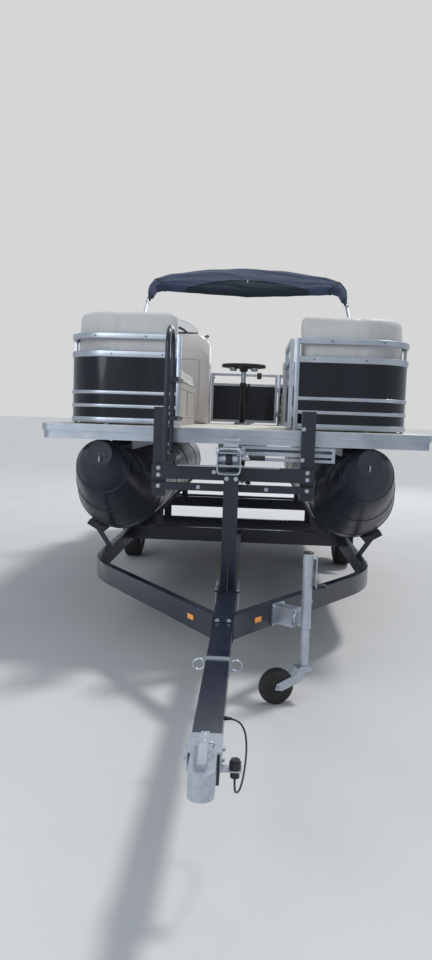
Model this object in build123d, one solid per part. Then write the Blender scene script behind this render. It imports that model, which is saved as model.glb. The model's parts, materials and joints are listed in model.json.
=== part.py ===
"""Pontoon boat on its single-axle trailer, standing on the trailer's wheels and jack.

Millimetres. +X is port, +Y is aft, +Z is up. The model is laid out from the front edge of the
deck (Y = 0 there), with the floor at Z = 0, and every piece is shifted along Y when it is
written, so that the middle of the whole length lies on the origin.
"""
from build123d import *
import os
from math import atan2, cos, hypot, pi, radians, sin, sqrt, tan

os.makedirs("parts", exist_ok=True)

# Clearances
SEAT = 0.3             # gap between pieces that rest on each other along curved faces
RUN = 0.1              # radial gap of a shaft in its bore

# Deck
BEAM = 2590.0          # over the deck trim
DECK_LENGTH = 5250.0
DECK_TOP = 1485.0
BOARD = 19.0           # deck board
TRIM_HEIGHT = 99.0
TRIM_LOWER = 54.0      # height of the lower step of the trim
TRIM_THICK = 25.0
TRIM_STEP = 10.0       # how far the lower step stands back
TRIM_CORNER = 60.0
CHANNEL_HEIGHT = 64.0
CHANNEL_WIDTH = 44.0
CHANNEL_COUNT = 13
CHANNEL_FIRST = 170.0

# Tubes
TUBE_RADIUS = 317.5
TUBE_X = 900.0
TUBE_BOTTOM = 660.0
TUBE_END = DECK_LENGTH - 10.0
TUBE_CAP = 60.0        # depth of the domed stern cap
RISER_THICK = 6.0
RISER_SPREAD = 80.0    # each riser plate stands this far from the tube's middle

# Fence
FENCE_X = 1215.0       # middle line of the fence along the sides
FENCE_FRONT = 325.0
FENCE_REAR = DECK_LENGTH - 700.0
SIDE_POSTS = 4         # posts along each side, between the corners
FENCE_CORNER = 300.0
RAIL_DEPTH = 30.0
POST = 30.0
PANEL = 3.0
BOW_OPENING = 397.0    # half width between the gate posts
STERN_OPENING = 430.0
GATE_CLEAR = 6.0
GATE_DEPTH = 28.0
GATE_SILL = 20.0       # gap under a gate leaf
GATE_DROP = 5.0        # a gate leaf ends this far under the top rail's upper edge
HINGE_OUT = 5.0        # gate hinge pins stand this far from the gate's face
HINGE_TALL = 40.0      # height of a hinge knuckle
PANEL_RISE = 12.0      # the fence panels start this far above the deck
PANEL_TALL = 515.0
PIN_RADIUS = 4.0

# Furniture, heights above the deck
BASE_TOP = 330.0
SEAT_TOP = 450.0
BACK_TOP = 825.0
LOUNGE_OUTER = 1180.0
BACK_THICK = 120.0
LOUNGE_INNER = 430.0
LOUNGE_GAP = 45.0      # lounges stand this far inside the fence's middle line
BOW_LOUNGE = 1680.0    # length of the bow lounges
QUARTER_LOUNGE = 1130.0
QUARTER_INNER = 470.0
LOUNGE_CORNER = 240.0  # radius of the back's middle line round its corner
SEAT_GAP = 3.0         # between a seat and the back behind it

# Helm
CONSOLE_INNER = 340.0
CONSOLE_OUTER = 1150.0
CONSOLE_FRONT = 2600.0
HELM_X = -(BEAM / 2 - 550.0)
HELM_SEAT_Y = 3530.0
WHEEL_RIM = 165.0      # steering wheel, middle line of its rim
WHEEL_GRIP = 13.0
COLUMN = 90.0          # steering wheel hub stands this far off the dash

# Table
TABLE_Y = 3300.0
TABLE_RADIUS = 240.0
TABLE_TOP = 660.0
TABLE_THICK = 30.0

# Folded sun top
TOP_PIVOT_Y = 3050.0
TOP_PIVOT_UP = 35.0    # above the top rail
TOP_X = 1212.0
TOP_LEAN = 43.0        # degrees aft of upright
TOP_IN = 80.0          # the legs come in this far on their way up to the cloth
TOP_CROWN = 1616.0     # upper edge of the rolled cloth, along the lean
TOP_LOW = 1278.0       # its lower edge
TOP_SHOULDER = (880.0, 1475.0)
TOP_ROOT = 1215.0      # the cloth ends here on each leg
BOW_TUBE = 12.5
BUNDLE_DEEP = 150.0
BRACE_FOOT = 1080.0    # the braces stand on the rail this far behind the pivot

# Outboard motor
TRANSOM_Y = DECK_LENGTH + 230.0
POD_HALF = 310.0
POD_BOTTOM = 1080.0
TRANSOM_TOP = 1318.0
TILT_Y = TRANSOM_Y + 20.0
TILT_Z = 1350.0
STEER_Y = TRANSOM_Y + 80.0
PROP_Z = 660.0
PROP_Y = TRANSOM_Y + 405.0

# Trailer frame
FRAME_TOP = 525.0
FRAME_RAIL = 127.0
FRAME_WIDTH = 50.0
FRAME_X = 980.0
FRAME_END = DECK_LENGTH - 200.0
WING_START = -1000.0
WING_ANGLE = 35.0
WING_RADIUS = 1000.0
WING_ROOT = 60.0
TONGUE_WIDTH = 102.0
TONGUE_TOP = 500.0
TONGUE_FRONT = -2560.0
SLEEVE_WALL = 5.0
SLEEVE_FRONT = -1090.0
SLEEVE_REAR = -290.0
COUPLER_FRONT = -2720.0
BALL_RADIUS = 25.8
BALL_Y = -2668.0

# Running gear
AXLE_Y = 3150.0
TYRE_RADIUS = 305.0
TYRE_WIDTH = 175.0
WHEEL_X = 1145.0
RIM_RADIUS = 170.0
SPINDLE = 16.0
AXLE_TUBE = 60.0
WHEEL_HOLES = 8
HOLE_CIRCLE = 115.0
HOLE_RADIUS = 19.0
ARM_LENGTH = 150.0

# Bunks
BUNK_WIDTH = 140.0
BUNK_THICK = 38.0
BUNK_ANGLE = 30.0
BUNK_END = FRAME_END - 100.0

# Winch stand
POST_WIDTH = 90.0
POST_Y = -375.0
POST_TOP = 1217.0
STOP_X = 480.0
STOP_TOP = 1615.0
STOP_BOTTOM = 1035.0
STOP_DEPTH = 50.0

# Jack
JACK_ALONG = 373.0     # along the wing from its root
JACK_OUT = 190.0       # from the wing's outer face to the leg's middle
JACK_PIVOT_Z = 461.0
JACK_OUTER = 28.5
JACK_INNER = 24.0
JACK_TOP = 830.0
JACK_BOTTOM = 412.0
JACK_LEG_TOP = 590.0
CASTER_TRAIL = 165.0
CASTER_WHEEL = 100.0
CASTER_WIDTH = 60.0
CASTER_HEADING = (-0.92, -0.39)

# Places that follow from the sizes above
BOARD_BOTTOM = DECK_TOP - BOARD
CHANNEL_BOTTOM = BOARD_BOTTOM - CHANNEL_HEIGHT
TUBE_Z = TUBE_BOTTOM + TUBE_RADIUS
FRAME_BOTTOM = FRAME_TOP - FRAME_RAIL
RAIL_TOP = DECK_TOP + 640.0
TOP_PIVOT_Z = RAIL_TOP + TOP_PIVOT_UP
COWL_REAR = TRANSOM_Y + 620.0
SHIFT_Y = -(COUPLER_FRONT + COWL_REAR) / 2

nodes = {}
upward = (Align.CENTER, Align.CENTER, Align.MIN)


def keep(name, *solids):
    """File one node, as one solid or as solids that don't touch."""
    flat = []
    for item in solids:
        flat.extend(item.solids() if hasattr(item, "solids") else item)
    nodes[name] = flat


def block(x, y, z):
    """Box between two X, two Y and two Z values."""
    size = [hi - lo for lo, hi in (x, y, z)]
    return Pos(x[0], y[0], z[0]) * Box(*size, align=(Align.MIN,) * 3)


def rod(radius, start, end):
    """Round bar between two points."""
    start, end = Vector(*start), Vector(*end)
    along = end - start
    plane = Plane(origin=start, z_dir=along)
    return plane * Cylinder(radius, along.length, align=upward)


def side_plate(points, x):
    """Outline of (y, z) points, as thick as the two X values."""
    face = Plane(origin=(x[0], 0, 0), x_dir=(0, 1, 0), z_dir=(1, 0, 0)) * Polygon(*points, align=None)
    return extrude(face, x[1] - x[0], dir=(1, 0, 0))


def cross_plate(points, y):
    """Outline of (x, z) points, as thick as the two Y values."""
    face = Plane(origin=(0, y[0], 0), x_dir=(1, 0, 0), z_dir=(0, -1, 0)) * Polygon(*points, align=None)
    return extrude(face, y[1] - y[0], dir=(0, 1, 0))


def port_and_starboard(solid):
    return [solid, mirror(solid, Plane.YZ)]


def bend(path, radius):
    """Round tube along a path."""
    section = Plane(origin=path @ 0, z_dir=path % 0) * Circle(radius)
    return sweep(section, path=path)


def shifted(points, left):
    """Plan polyline moved to its left, with mitred corners."""
    headings = []
    for (ax, ay), (bx, by) in zip(points, points[1:]):
        span = hypot(bx - ax, by - ay)
        headings.append(((bx - ax) / span, (by - ay) / span))
    moved = []
    for i, (px, py) in enumerate(points):
        before = headings[max(i - 1, 0)]
        after = headings[min(i, len(headings) - 1)]
        nx, ny = -(before[1] + after[1]), before[0] + after[0]
        scale = left * 2 / (nx * nx + ny * ny)
        moved.append((px + nx * scale, py + ny * scale))
    return moved


def turns(points):
    """+1 for each corner that turns left and -1 for each that turns right."""
    signs = []
    for (ax, ay), (bx, by), (cx, cy) in zip(points, points[1:], points[2:]):
        cross = (bx - ax) * (cy - by) - (by - ay) * (cx - bx)
        signs.append(1 if cross > 0 else -1)
    return signs


def wall(points, radii, left, right, z):
    """Upright wall along a filleted plan line, from `right` to `left` of it."""
    edges = []
    for offset in (left, right):
        line = shifted(points, offset)
        rounded = [r - offset * sign for r, sign in zip(radii, turns(points))]
        edges.append(FilletPolyline(*line, radius=rounded))
    first, second = edges
    outline = [first, Line(first @ 1, second @ 1), second, Line(second @ 0, first @ 0)]
    return extrude(Pos(0, 0, z[0]) * make_face(outline), z[1] - z[0], dir=(0, 0, 1))


def slab(points, z):
    """Plan outline of (x, y) points between two heights."""
    return extrude(Pos(0, 0, z[0]) * Polygon(*points, align=None), z[1] - z[0], dir=(0, 0, 1))


# Deck: cross channels, board and two-step trim
def ring(outer_inset, inner_inset, z):
    outer = RectangleRounded(BEAM - 2 * outer_inset, DECK_LENGTH - 2 * outer_inset, TRIM_CORNER)
    inner = RectangleRounded(BEAM - 2 * inner_inset, DECK_LENGTH - 2 * inner_inset,
                             TRIM_CORNER - inner_inset)
    return extrude(Pos(0, DECK_LENGTH / 2, z[0]) * (outer - inner), z[1] - z[0])


board_face = RectangleRounded(BEAM - 2 * TRIM_THICK, DECK_LENGTH - 2 * TRIM_THICK, TRIM_CORNER - TRIM_THICK)
keep("deck_board", extrude(Pos(0, DECK_LENGTH / 2, BOARD_BOTTOM) * board_face, BOARD))
trim_bottom = DECK_TOP - TRIM_HEIGHT
trim_mid = trim_bottom + TRIM_LOWER
keep("deck_trim", ring(0, TRIM_THICK, (trim_mid, DECK_TOP))
     + ring(TRIM_STEP, TRIM_THICK, (trim_bottom, trim_mid)))

channel_step = (DECK_LENGTH - 2 * CHANNEL_FIRST) / (CHANNEL_COUNT - 1)
channel_half = BEAM / 2 - TRIM_THICK
channels = []
for i in range(CHANNEL_COUNT):
    middle = CHANNEL_FIRST + i * channel_step
    channels.append(block((-channel_half, channel_half),
                          (middle - CHANNEL_WIDTH / 2, middle + CHANNEL_WIDTH / 2),
                          (CHANNEL_BOTTOM, BOARD_BOTTOM)))
keep("deck_channels", *channels)

# Tubes: a straight barrel, a raked nose and a domed cap at the stern
NOSE = (  # distance aft of the deck's front edge, radius, height of the middle
    (45.0, 82.0, 1292.0),
    (150.0, 180.0, 1200.0),
    (400.0, 240.0, 1095.0),
    (680.0, 295.0, 1004.0),
    (880.0, TUBE_RADIUS, TUBE_Z),
)


def disc(y, radius, z):
    return Plane(origin=(TUBE_X, y, z), x_dir=(1, 0, 0), z_dir=(0, 1, 0)) * Circle(radius)


# The nose tips stand just under the deck, as on such tubes
nose = loft([disc(*row) for row in NOSE], ruled=True)
barrel_start = NOSE[-1][0]
barrel = rod(TUBE_RADIUS, (TUBE_X, barrel_start, TUBE_Z), (TUBE_X, TUBE_END - TUBE_CAP, TUBE_Z))
cap = loft([disc(TUBE_END - TUBE_CAP, TUBE_RADIUS, TUBE_Z), disc(TUBE_END, TUBE_RADIUS * 0.88, TUBE_Z)])
keep("pontoons", *port_and_starboard(nose + barrel + cap))

riser_foot = TUBE_Z + sqrt(TUBE_RADIUS ** 2 - (RISER_SPREAD - RISER_THICK / 2) ** 2) + SEAT
risers = []
for offset in (-RISER_SPREAD, RISER_SPREAD):
    x = TUBE_X + offset
    risers += port_and_starboard(block((x - RISER_THICK / 2, x + RISER_THICK / 2),
                                       (barrel_start, TUBE_END - TUBE_CAP),
                                       (riser_foot, CHANNEL_BOTTOM)))
keep("tube_risers", *risers)

# Motor pod between the tubes
POD_REACH = 900.0      # the pod starts this far ahead of the deck's rear edge
POD_RAMP = 310.0
POD_STEP = 40.0
POD_FRONT = DECK_LENGTH - POD_REACH
POD_SIDE = (  # distance aft, height
    (POD_FRONT, CHANNEL_BOTTOM), (POD_FRONT, CHANNEL_BOTTOM - 70.0), (POD_FRONT + POD_RAMP, POD_BOTTOM + 25.0),
    (TRANSOM_Y, POD_BOTTOM), (TRANSOM_Y, TRANSOM_TOP), (DECK_LENGTH - POD_STEP, TRANSOM_TOP),
    (DECK_LENGTH - POD_STEP, CHANNEL_BOTTOM),
)
keep("motor_pod", side_plate(POD_SIDE, (-POD_HALF, POD_HALF)))

# Fence: five rails and their posts on each side, and the panels inside them
RAILS = (  # middle height above the deck, height of the section
    (30.0, 40.0), (130.0, 26.0), (225.0, 26.0), (495.0, 45.0), (620.0, 40.0),
)
fence_line = [(BOW_OPENING + POST, FENCE_FRONT), (FENCE_X, FENCE_FRONT),
              (FENCE_X, FENCE_REAR), (STERN_OPENING + POST, FENCE_REAR)]
fence_radii = [FENCE_CORNER, FENCE_CORNER]
half = RAIL_DEPTH / 2
fence = None
for middle, height in RAILS:
    low = DECK_TOP + middle - height / 2
    rail = wall(fence_line, fence_radii, half, -half, (low, low + height))
    fence = rail if fence is None else fence + rail
side_front, side_rear = FENCE_FRONT + FENCE_CORNER, FENCE_REAR - FENCE_CORNER
post_step = (side_rear - side_front) / (SIDE_POSTS + 1)
post_places = [(BOW_OPENING + POST / 2, FENCE_FRONT), (FENCE_X - FENCE_CORNER, FENCE_FRONT),
               (FENCE_X - FENCE_CORNER, FENCE_REAR), (STERN_OPENING + POST / 2, FENCE_REAR)]
post_places += [(FENCE_X, side_front + i * post_step) for i in range(SIDE_POSTS + 2)]
for x, y in post_places:
    fence += block((x - POST / 2, x + POST / 2), (y - half, y + half), (DECK_TOP, RAIL_TOP))
panel_gap = half + SEAT
panel = wall(fence_line, fence_radii, panel_gap + PANEL, panel_gap, (DECK_TOP + PANEL_RISE, DECK_TOP + PANEL_TALL))
keep("fence_panels", *port_and_starboard(panel))


def gate(x, y):
    """Gate leaf between two X values, as frame and panel."""
    low, high = DECK_TOP + GATE_SILL, RAIL_TOP - GATE_DROP
    frame = block(x, y, (low, low + POST)) + block(x, y, (high - POST, high))
    for inner in ((x[0], x[0] + POST), (x[1] - POST, x[1])):
        frame += block(inner, y, (low, high))
    middle = DECK_TOP + RAILS[3][0]
    frame += block(x, y, (middle - POST / 2, middle + POST / 2))
    inside = (x[0] + POST, x[1] - POST)
    core = (y[0] + y[1]) / 2
    skin = block(inside, (core - PANEL / 2, core + PANEL / 2), (low + POST, middle - POST / 2))
    return frame, skin


HINGE_LEVELS = (DECK_TOP + 110, DECK_TOP + 420)
KNUCKLE = PIN_RADIUS + 2.5

# Bow gate, swung open: it lies along the port lounge and closes across the opening
bow_pin = (BOW_OPENING - GATE_CLEAR, FENCE_FRONT + half + HINGE_OUT)
leaf = 2 * (BOW_OPENING - GATE_CLEAR - HINGE_OUT) - HINGE_OUT
bow_x = (bow_pin[0] - 3 - GATE_DEPTH, bow_pin[0] - 3)
bow_y = (bow_pin[1] + HINGE_OUT, bow_pin[1] + HINGE_OUT + leaf)
closed_frame, closed_skin = gate((0, leaf), (0, GATE_DEPTH))
turn_open = Pos(bow_x[1], bow_y[0], 0) * Rot(0, 0, 90)
bow_frame = turn_open * closed_frame
bow_skin = turn_open * closed_skin
bow_pins = []
for z in HINGE_LEVELS:
    x, y = bow_pin
    knuckle = rod(KNUCKLE, (x, y, z), (x, y, z + HINGE_TALL))
    strap = block((x - 12, x), (y - 2, y + 14), (z, z + HINGE_TALL))
    bow_frame += knuckle + strap
    bow_frame -= rod(PIN_RADIUS + RUN, (x, y, z - 5), (x, y, z + HINGE_TALL + 5))
    pin = rod(PIN_RADIUS, (x, y, z - 12), (x, y, z + 50))
    tab = block((x - PIN_RADIUS, BOW_OPENING), (y - PIN_RADIUS, y + PIN_RADIUS), (z - 12, z - 5))
    heel = block((BOW_OPENING, BOW_OPENING + 12), (FENCE_FRONT + half, y + PIN_RADIUS), (z - 12, z - 5))
    bow_pins.append(pin + tab + heel)
keep("bow_gate_frame", bow_frame)
keep("bow_gate_panel", bow_skin)

# Stern gate, closed: it opens into the boat
stern_pin = (STERN_OPENING - HINGE_OUT, FENCE_REAR - half - HINGE_OUT)
stern_leaf = 2 * STERN_OPENING - 4 - 2 * GATE_CLEAR
stern_x = (stern_pin[0] - HINGE_OUT - stern_leaf, stern_pin[0] - HINGE_OUT)
stern_y = (stern_pin[1] + 5, stern_pin[1] + 5 + GATE_DEPTH)
stern_frame, stern_skin = gate(stern_x, stern_y)
stern_pins = []
for z in HINGE_LEVELS:
    x, y = stern_pin
    knuckle = rod(KNUCKLE, (x, y, z), (x, y, z + HINGE_TALL))
    strap = block((x - 14, x), (y, y + 12), (z, z + HINGE_TALL))
    stern_frame += knuckle + strap
    stern_frame -= rod(PIN_RADIUS + RUN, (x, y, z - 5), (x, y, z + HINGE_TALL + 5))
    pin = rod(PIN_RADIUS, (x, y, z - 12), (x, y, z + 50))
    tab = block((x - PIN_RADIUS, STERN_OPENING + 12), (y - PIN_RADIUS, y + HINGE_OUT), (z - 12, z - 5))
    stern_pins.append(pin + tab)
keep("stern_gate_frame", stern_frame)
keep("stern_gate_panel", stern_skin)
port_fence = fence
for pin in (*bow_pins, *stern_pins):
    port_fence += pin
keep("fence_rails", port_fence, mirror(fence, Plane.YZ))


# Lounges: two at the bow and one at the port quarter
def lounge(y, corner_at_front, inner):
    """Base, seat and back of a corner lounge on the port side."""
    front, rear = y
    line_x = LOUNGE_OUTER - BACK_THICK / 2
    if corner_at_front:
        line = [(inner, front + BACK_THICK / 2), (line_x, front + BACK_THICK / 2), (line_x, rear)]
    else:
        line = [(line_x, front), (line_x, rear - BACK_THICK / 2), (inner, rear - BACK_THICK / 2)]
    radius = LOUNGE_CORNER
    half_back = BACK_THICK / 2
    back = wall(line, [radius], half_back, -half_back, (DECK_TOP + BASE_TOP + SEAT, DECK_TOP + BACK_TOP))
    seat_line = shifted(line, half_back + SEAT_GAP)
    plan = seat_line + ([(inner, rear)] if corner_at_front else [(inner, front)])
    seat = slab(plan, (DECK_TOP + BASE_TOP + SEAT, DECK_TOP + SEAT_TOP))
    seat -= wall(line, [radius], half_back + SEAT_GAP, -BACK_THICK * 3, (DECK_TOP, DECK_TOP + BACK_TOP))
    base_plan = [(inner, front), (LOUNGE_OUTER, front), (LOUNGE_OUTER, rear), (inner, rear)]
    base = slab(base_plan, (DECK_TOP, DECK_TOP + BASE_TOP))
    edge_xy = (LOUNGE_OUTER, front if corner_at_front else rear)
    uprights = [e for e in base.edges().filter_by(Axis.Z)
                if abs(e.center().X - edge_xy[0]) < 1 and abs(e.center().Y - edge_xy[1]) < 1]
    base = fillet(uprights, radius + half_back)
    return base, seat, back


bow_front, quarter_rear = FENCE_FRONT + LOUNGE_GAP, FENCE_REAR - LOUNGE_GAP - 25
bow_parts = lounge((bow_front, bow_front + BOW_LOUNGE), True, LOUNGE_INNER)
quarter_parts = lounge((quarter_rear - QUARTER_LOUNGE, quarter_rear), False, QUARTER_INNER)
for name, bow_part, quarter_part in zip(("lounge_bases", "lounge_seats", "lounge_backs"),
                                        bow_parts, quarter_parts):
    keep(name, *port_and_starboard(bow_part), quarter_part)

# Helm console, its windscreen and the steering wheel
CONSOLE_TOP = 920.0
CONSOLE_SIDE = (  # distance aft of the console's front, height above the deck
    (0.0, 0.0), (0.0, 800.0), (80.0, CONSOLE_TOP), (190.0, CONSOLE_TOP),
    (380.0, 720.0), (380.0, 560.0), (290.0, 500.0), (290.0, 0.0),
)
SCREEN_INSET = 30.0    # the screen ends this far inside the console's sides
SCREEN_BULGE = 60.0
SCREEN_THICK = 5.0
SCREEN_TALL = 150.0
SCREEN_BACK = 95.0     # middle of the screen, aft of the console's front
console_points = [(CONSOLE_FRONT + y, DECK_TOP + z) for y, z in CONSOLE_SIDE]
console = side_plate(console_points, (-CONSOLE_OUTER, -CONSOLE_INNER))
screen_mid = -(CONSOLE_INNER + CONSOLE_OUTER) / 2
screen_half = (CONSOLE_OUTER - CONSOLE_INNER) / 2 - SCREEN_INSET
screen_arc = [(-screen_half, SCREEN_BULGE), (0.0, 0.0), (screen_half, SCREEN_BULGE)]
outer_arc = ThreePointArc(*screen_arc)
inner_arc = ThreePointArc(*[(x, y + SCREEN_THICK) for x, y in screen_arc])
screen_face = make_face([outer_arc, Line(outer_arc @ 1, inner_arc @ 1), inner_arc,
                         Line(inner_arc @ 0, outer_arc @ 0)])
screen = extrude(Pos(screen_mid, CONSOLE_FRONT + SCREEN_BACK, DECK_TOP + CONSOLE_TOP) * screen_face, SCREEN_TALL)
keep("windscreen", screen)

dash_top, dash_low = console_points[3], console_points[4]
slope = atan2(dash_top[1] - dash_low[1], dash_low[0] - dash_top[0])
dash_mid = ((dash_top[0] + dash_low[0]) / 2, (dash_top[1] + dash_low[1]) / 2)
column_dir = Vector(0, sin(slope), cos(slope))
dash_point = Vector(HELM_X, *dash_mid)
hub_point = dash_point + column_dir * COLUMN
HUB_DEPTH = 27.0
console += rod(26, tuple(dash_point - column_dir * 5), tuple(dash_point + column_dir * (COLUMN - HUB_DEPTH - SEAT)))
keep("helm_console", console)
wheel_plane = Plane(origin=hub_point, x_dir=(1, 0, 0), z_dir=column_dir)
rim_wheel = wheel_plane * Torus(WHEEL_RIM, WHEEL_GRIP)
hub_wheel = wheel_plane * Pos(0, 0, -HUB_DEPTH) * Cylinder(38, HUB_DEPTH + 7, align=upward)
spokes = None
for angle in (90, 210, 330):
    spoke = wheel_plane * Rot(0, 0, angle) * Pos(WHEEL_RIM / 2 + 10, 0, -4) * Box(WHEEL_RIM - 20, 30, 8)
    spokes = spoke if spokes is None else spokes + spoke
keep("steering_wheel", rim_wheel + hub_wheel + spokes)

# Helm chair on its pedestal
CHAIR_LEVEL = 340.0    # the seat pan stands this high above the deck
CHAIR_PAN = 420.0
PAN_THICK = 40.0
CHAIR_BACK = (440.0, 30.0, 620.0)
CHAIR_BACK_Y = 240.0   # rear face of the shell, aft of the pedestal
PAD_WIDE, PAD_DEEP, PAD_TALL = 520.0, 470.0, 110.0
BACK_PAD_HALF = 250.0
BACK_PAD_Y = (95.0, 210.0)
BACK_PAD_TOP = 680.0
pedestal = (Pos(HELM_X, HELM_SEAT_Y, DECK_TOP) * Cylinder(160, 12, align=upward)
            + rod(38, (HELM_X, HELM_SEAT_Y, DECK_TOP), (HELM_X, HELM_SEAT_Y, DECK_TOP + CHAIR_LEVEL)))
keep("helm_pedestal", pedestal)
seat_z = DECK_TOP + CHAIR_LEVEL + SEAT
pan = Pos(HELM_X, HELM_SEAT_Y, seat_z) * Box(CHAIR_PAN, CHAIR_PAN, PAN_THICK, align=upward)
shell_place = Pos(HELM_X, HELM_SEAT_Y + CHAIR_BACK_Y, seat_z)
shell_back = shell_place * Box(*CHAIR_BACK, align=(Align.CENTER, Align.MAX, Align.MIN))
keep("helm_seat_frame", pan + shell_back)
cushion_z = seat_z + PAN_THICK + SEAT
shell_face = HELM_SEAT_Y + BACK_PAD_Y[1] - SEAT
seat_pad = Pos(HELM_X, HELM_SEAT_Y - 20, cushion_z) * Box(PAD_WIDE, PAD_DEEP, PAD_TALL, align=upward)
back_pad = block((HELM_X - BACK_PAD_HALF, HELM_X + BACK_PAD_HALF), (HELM_SEAT_Y + BACK_PAD_Y[0], shell_face),
                 (cushion_z + PAD_TALL + 5, seat_z + BACK_PAD_TOP))
seat_pad -= block((HELM_X - PAD_WIDE, HELM_X + PAD_WIDE), (shell_face, shell_face + 100),
                  (seat_z, seat_z + 2 * PAD_TALL))
keep("helm_seat_cushions", seat_pad, back_pad)

# Table on its two-part post
table_under = DECK_TOP + TABLE_TOP - TABLE_THICK
top_disc = Pos(0, TABLE_Y, table_under) * Cylinder(TABLE_RADIUS, TABLE_THICK,
                                                   align=upward)
CUP_CIRCLE = 165.0
CUP_RADIUS = 40.0
for angle in (45, 135, 225, 315):
    x = CUP_CIRCLE * cos(radians(angle))
    y = TABLE_Y + CUP_CIRCLE * sin(radians(angle))
    top_disc -= rod(CUP_RADIUS, (x, y, table_under - 1), (x, y, table_under + TABLE_THICK + 1))
keep("table_top", top_disc)
POST_JOINT = 360.0     # the table's two tubes meet this high above the deck
keep("table_post", rod(90, (0, TABLE_Y, DECK_TOP), (0, TABLE_Y, DECK_TOP + 14))
     + rod(30, (0, TABLE_Y, DECK_TOP), (0, TABLE_Y, DECK_TOP + POST_JOINT))
     + rod(26, (0, TABLE_Y, DECK_TOP + POST_JOINT), (0, TABLE_Y, table_under)))

# Folded sun top: hinged legs, the rolled cloth in its boot across the bows, and its braces
lean = radians(TOP_LEAN)
top_plane = Plane(origin=(0, TOP_PIVOT_Y, TOP_PIVOT_Z), x_dir=(1, 0, 0),
                  z_dir=(0, -cos(lean), sin(lean)))


def on_top(x, v, w=0.0):
    """Point of the folded top: across, up along its lean, and in front of it."""
    return top_plane.from_local_coords(Vector(x, v, w))


LEG_X = TOP_X - TOP_IN                   # middle of the legs where the cloth starts
ROLL = (  # across, middle along the lean, half depth, degrees that the roll drops, half thickness
    (0.0, (TOP_CROWN + TOP_LOW) / 2, (TOP_CROWN - TOP_LOW) / 2, 0.0, BUNDLE_DEEP / 2),
    (450.0, (TOP_CROWN + TOP_LOW) / 2 - 17.0, 151.0, 7.0, BUNDLE_DEEP / 2),
    (TOP_SHOULDER[0], TOP_SHOULDER[1] - 94.0, 92.0, 24.0, BUNDLE_DEEP / 2),
    (LEG_X - 82.0, TOP_SHOULDER[1] - 145.0, 68.0, 46.0, 64.0),
    (LEG_X - 12.0, TOP_ROOT + 42.0, 48.0, 76.0, 54.0),
    (LEG_X - 2.0, TOP_ROOT, 40.0, 86.0, 50.0),
)


def roll_section(side, across, v, half, drop, thick):
    """Section of the rolled cloth, square to its run."""
    tilt = radians(drop)
    along = top_plane.x_dir * cos(tilt) - top_plane.y_dir * side * sin(tilt)
    plane = Plane(origin=on_top(side * across, v), x_dir=top_plane.z_dir, z_dir=along)
    return plane * RectangleRounded(2 * thick, 2 * half, 0.9 * min(thick, half))


sections = [roll_section(-1, *row) for row in reversed(ROLL)] + [roll_section(1, *row) for row in ROLL[1:]]
bundle = loft(sections, ruled=True)
keep("folded_top", bundle)

ROOT_EYE = 18.0
legs, mounts = [], []
leg_end = TOP_ROOT - SEAT


def leg_point(side, v, w=0.0):
    """Point on the middle line of a leg, which leans in on its way up."""
    return tuple(on_top(side * (TOP_X - TOP_IN * v / TOP_ROOT), v, w))


for side in (-1, 1):
    x = side * TOP_X
    leg = rod(BOW_TUBE, leg_point(side, 24), leg_point(side, leg_end))
    leg += rod(BOW_TUBE - 4, leg_point(side, 8), leg_point(side, 40))
    eye = rod(ROOT_EYE, (x - 10, TOP_PIVOT_Y, TOP_PIVOT_Z), (x + 10, TOP_PIVOT_Y, TOP_PIVOT_Z))
    eye -= rod(6 + RUN, (x - 20, TOP_PIVOT_Y, TOP_PIVOT_Z), (x + 20, TOP_PIVOT_Y, TOP_PIVOT_Z))
    second = rod(BOW_TUBE - 2, leg_point(side, 300, -40), leg_point(side, leg_end, -40))
    link_low = rod(9, leg_point(side, 310), leg_point(side, 310, -40))
    link_high = rod(9, leg_point(side, 1150), leg_point(side, 1150, -40))
    joined = (leg - rod(6 + RUN, (x - 20, TOP_PIVOT_Y, TOP_PIVOT_Z), (x + 20, TOP_PIVOT_Y, TOP_PIVOT_Z))
              + eye + second + link_low + link_high)
    brace_top = Vector(*leg_point(side, 900, -40)) + Vector(side * 12, 0, 0)
    foot_y = TOP_PIVOT_Y + BRACE_FOOT
    foot_x = x + side * 8
    brace = rod(10, tuple(brace_top), (foot_x, foot_y, RAIL_TOP + 12))
    foot = block((foot_x - 12, foot_x + 12), (foot_y - 20, foot_y + 20), (RAIL_TOP + SEAT, RAIL_TOP + 16))
    legs.append(joined + brace + foot)
    base = block((x - 17, x + 17), (TOP_PIVOT_Y - 35, TOP_PIVOT_Y + 35), (RAIL_TOP, RAIL_TOP + 6))
    base += rod(6, (x - 17, TOP_PIVOT_Y, TOP_PIVOT_Z), (x + 17, TOP_PIVOT_Y, TOP_PIVOT_Z))
    for ear in (x - 17, x + 12):
        base += block((ear, ear + 5), (TOP_PIVOT_Y - 15, TOP_PIVOT_Y + 15), (RAIL_TOP + 6, TOP_PIVOT_Z + 12))
    mounts.append(base)
keep("top_bows", *legs)
keep("top_mounts", *mounts)

# Outboard motor
EAR_IN, EAR_OUT = 80.0, 92.0
clamp = block((-110, 110), (TRANSOM_Y, TRANSOM_Y + 8), (TILT_Z - 220, TRANSOM_TOP - 5))
for side in (-1, 1):
    ear_x = sorted((side * EAR_IN, side * EAR_OUT))
    clamp += block(ear_x, (TRANSOM_Y, TILT_Y + 28), (TILT_Z - 210, TILT_Z + 28))
clamp += rod(15, (-EAR_OUT - 6, TILT_Y, TILT_Z), (EAR_OUT + 6, TILT_Y, TILT_Z))
keep("motor_clamp", clamp)

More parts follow.
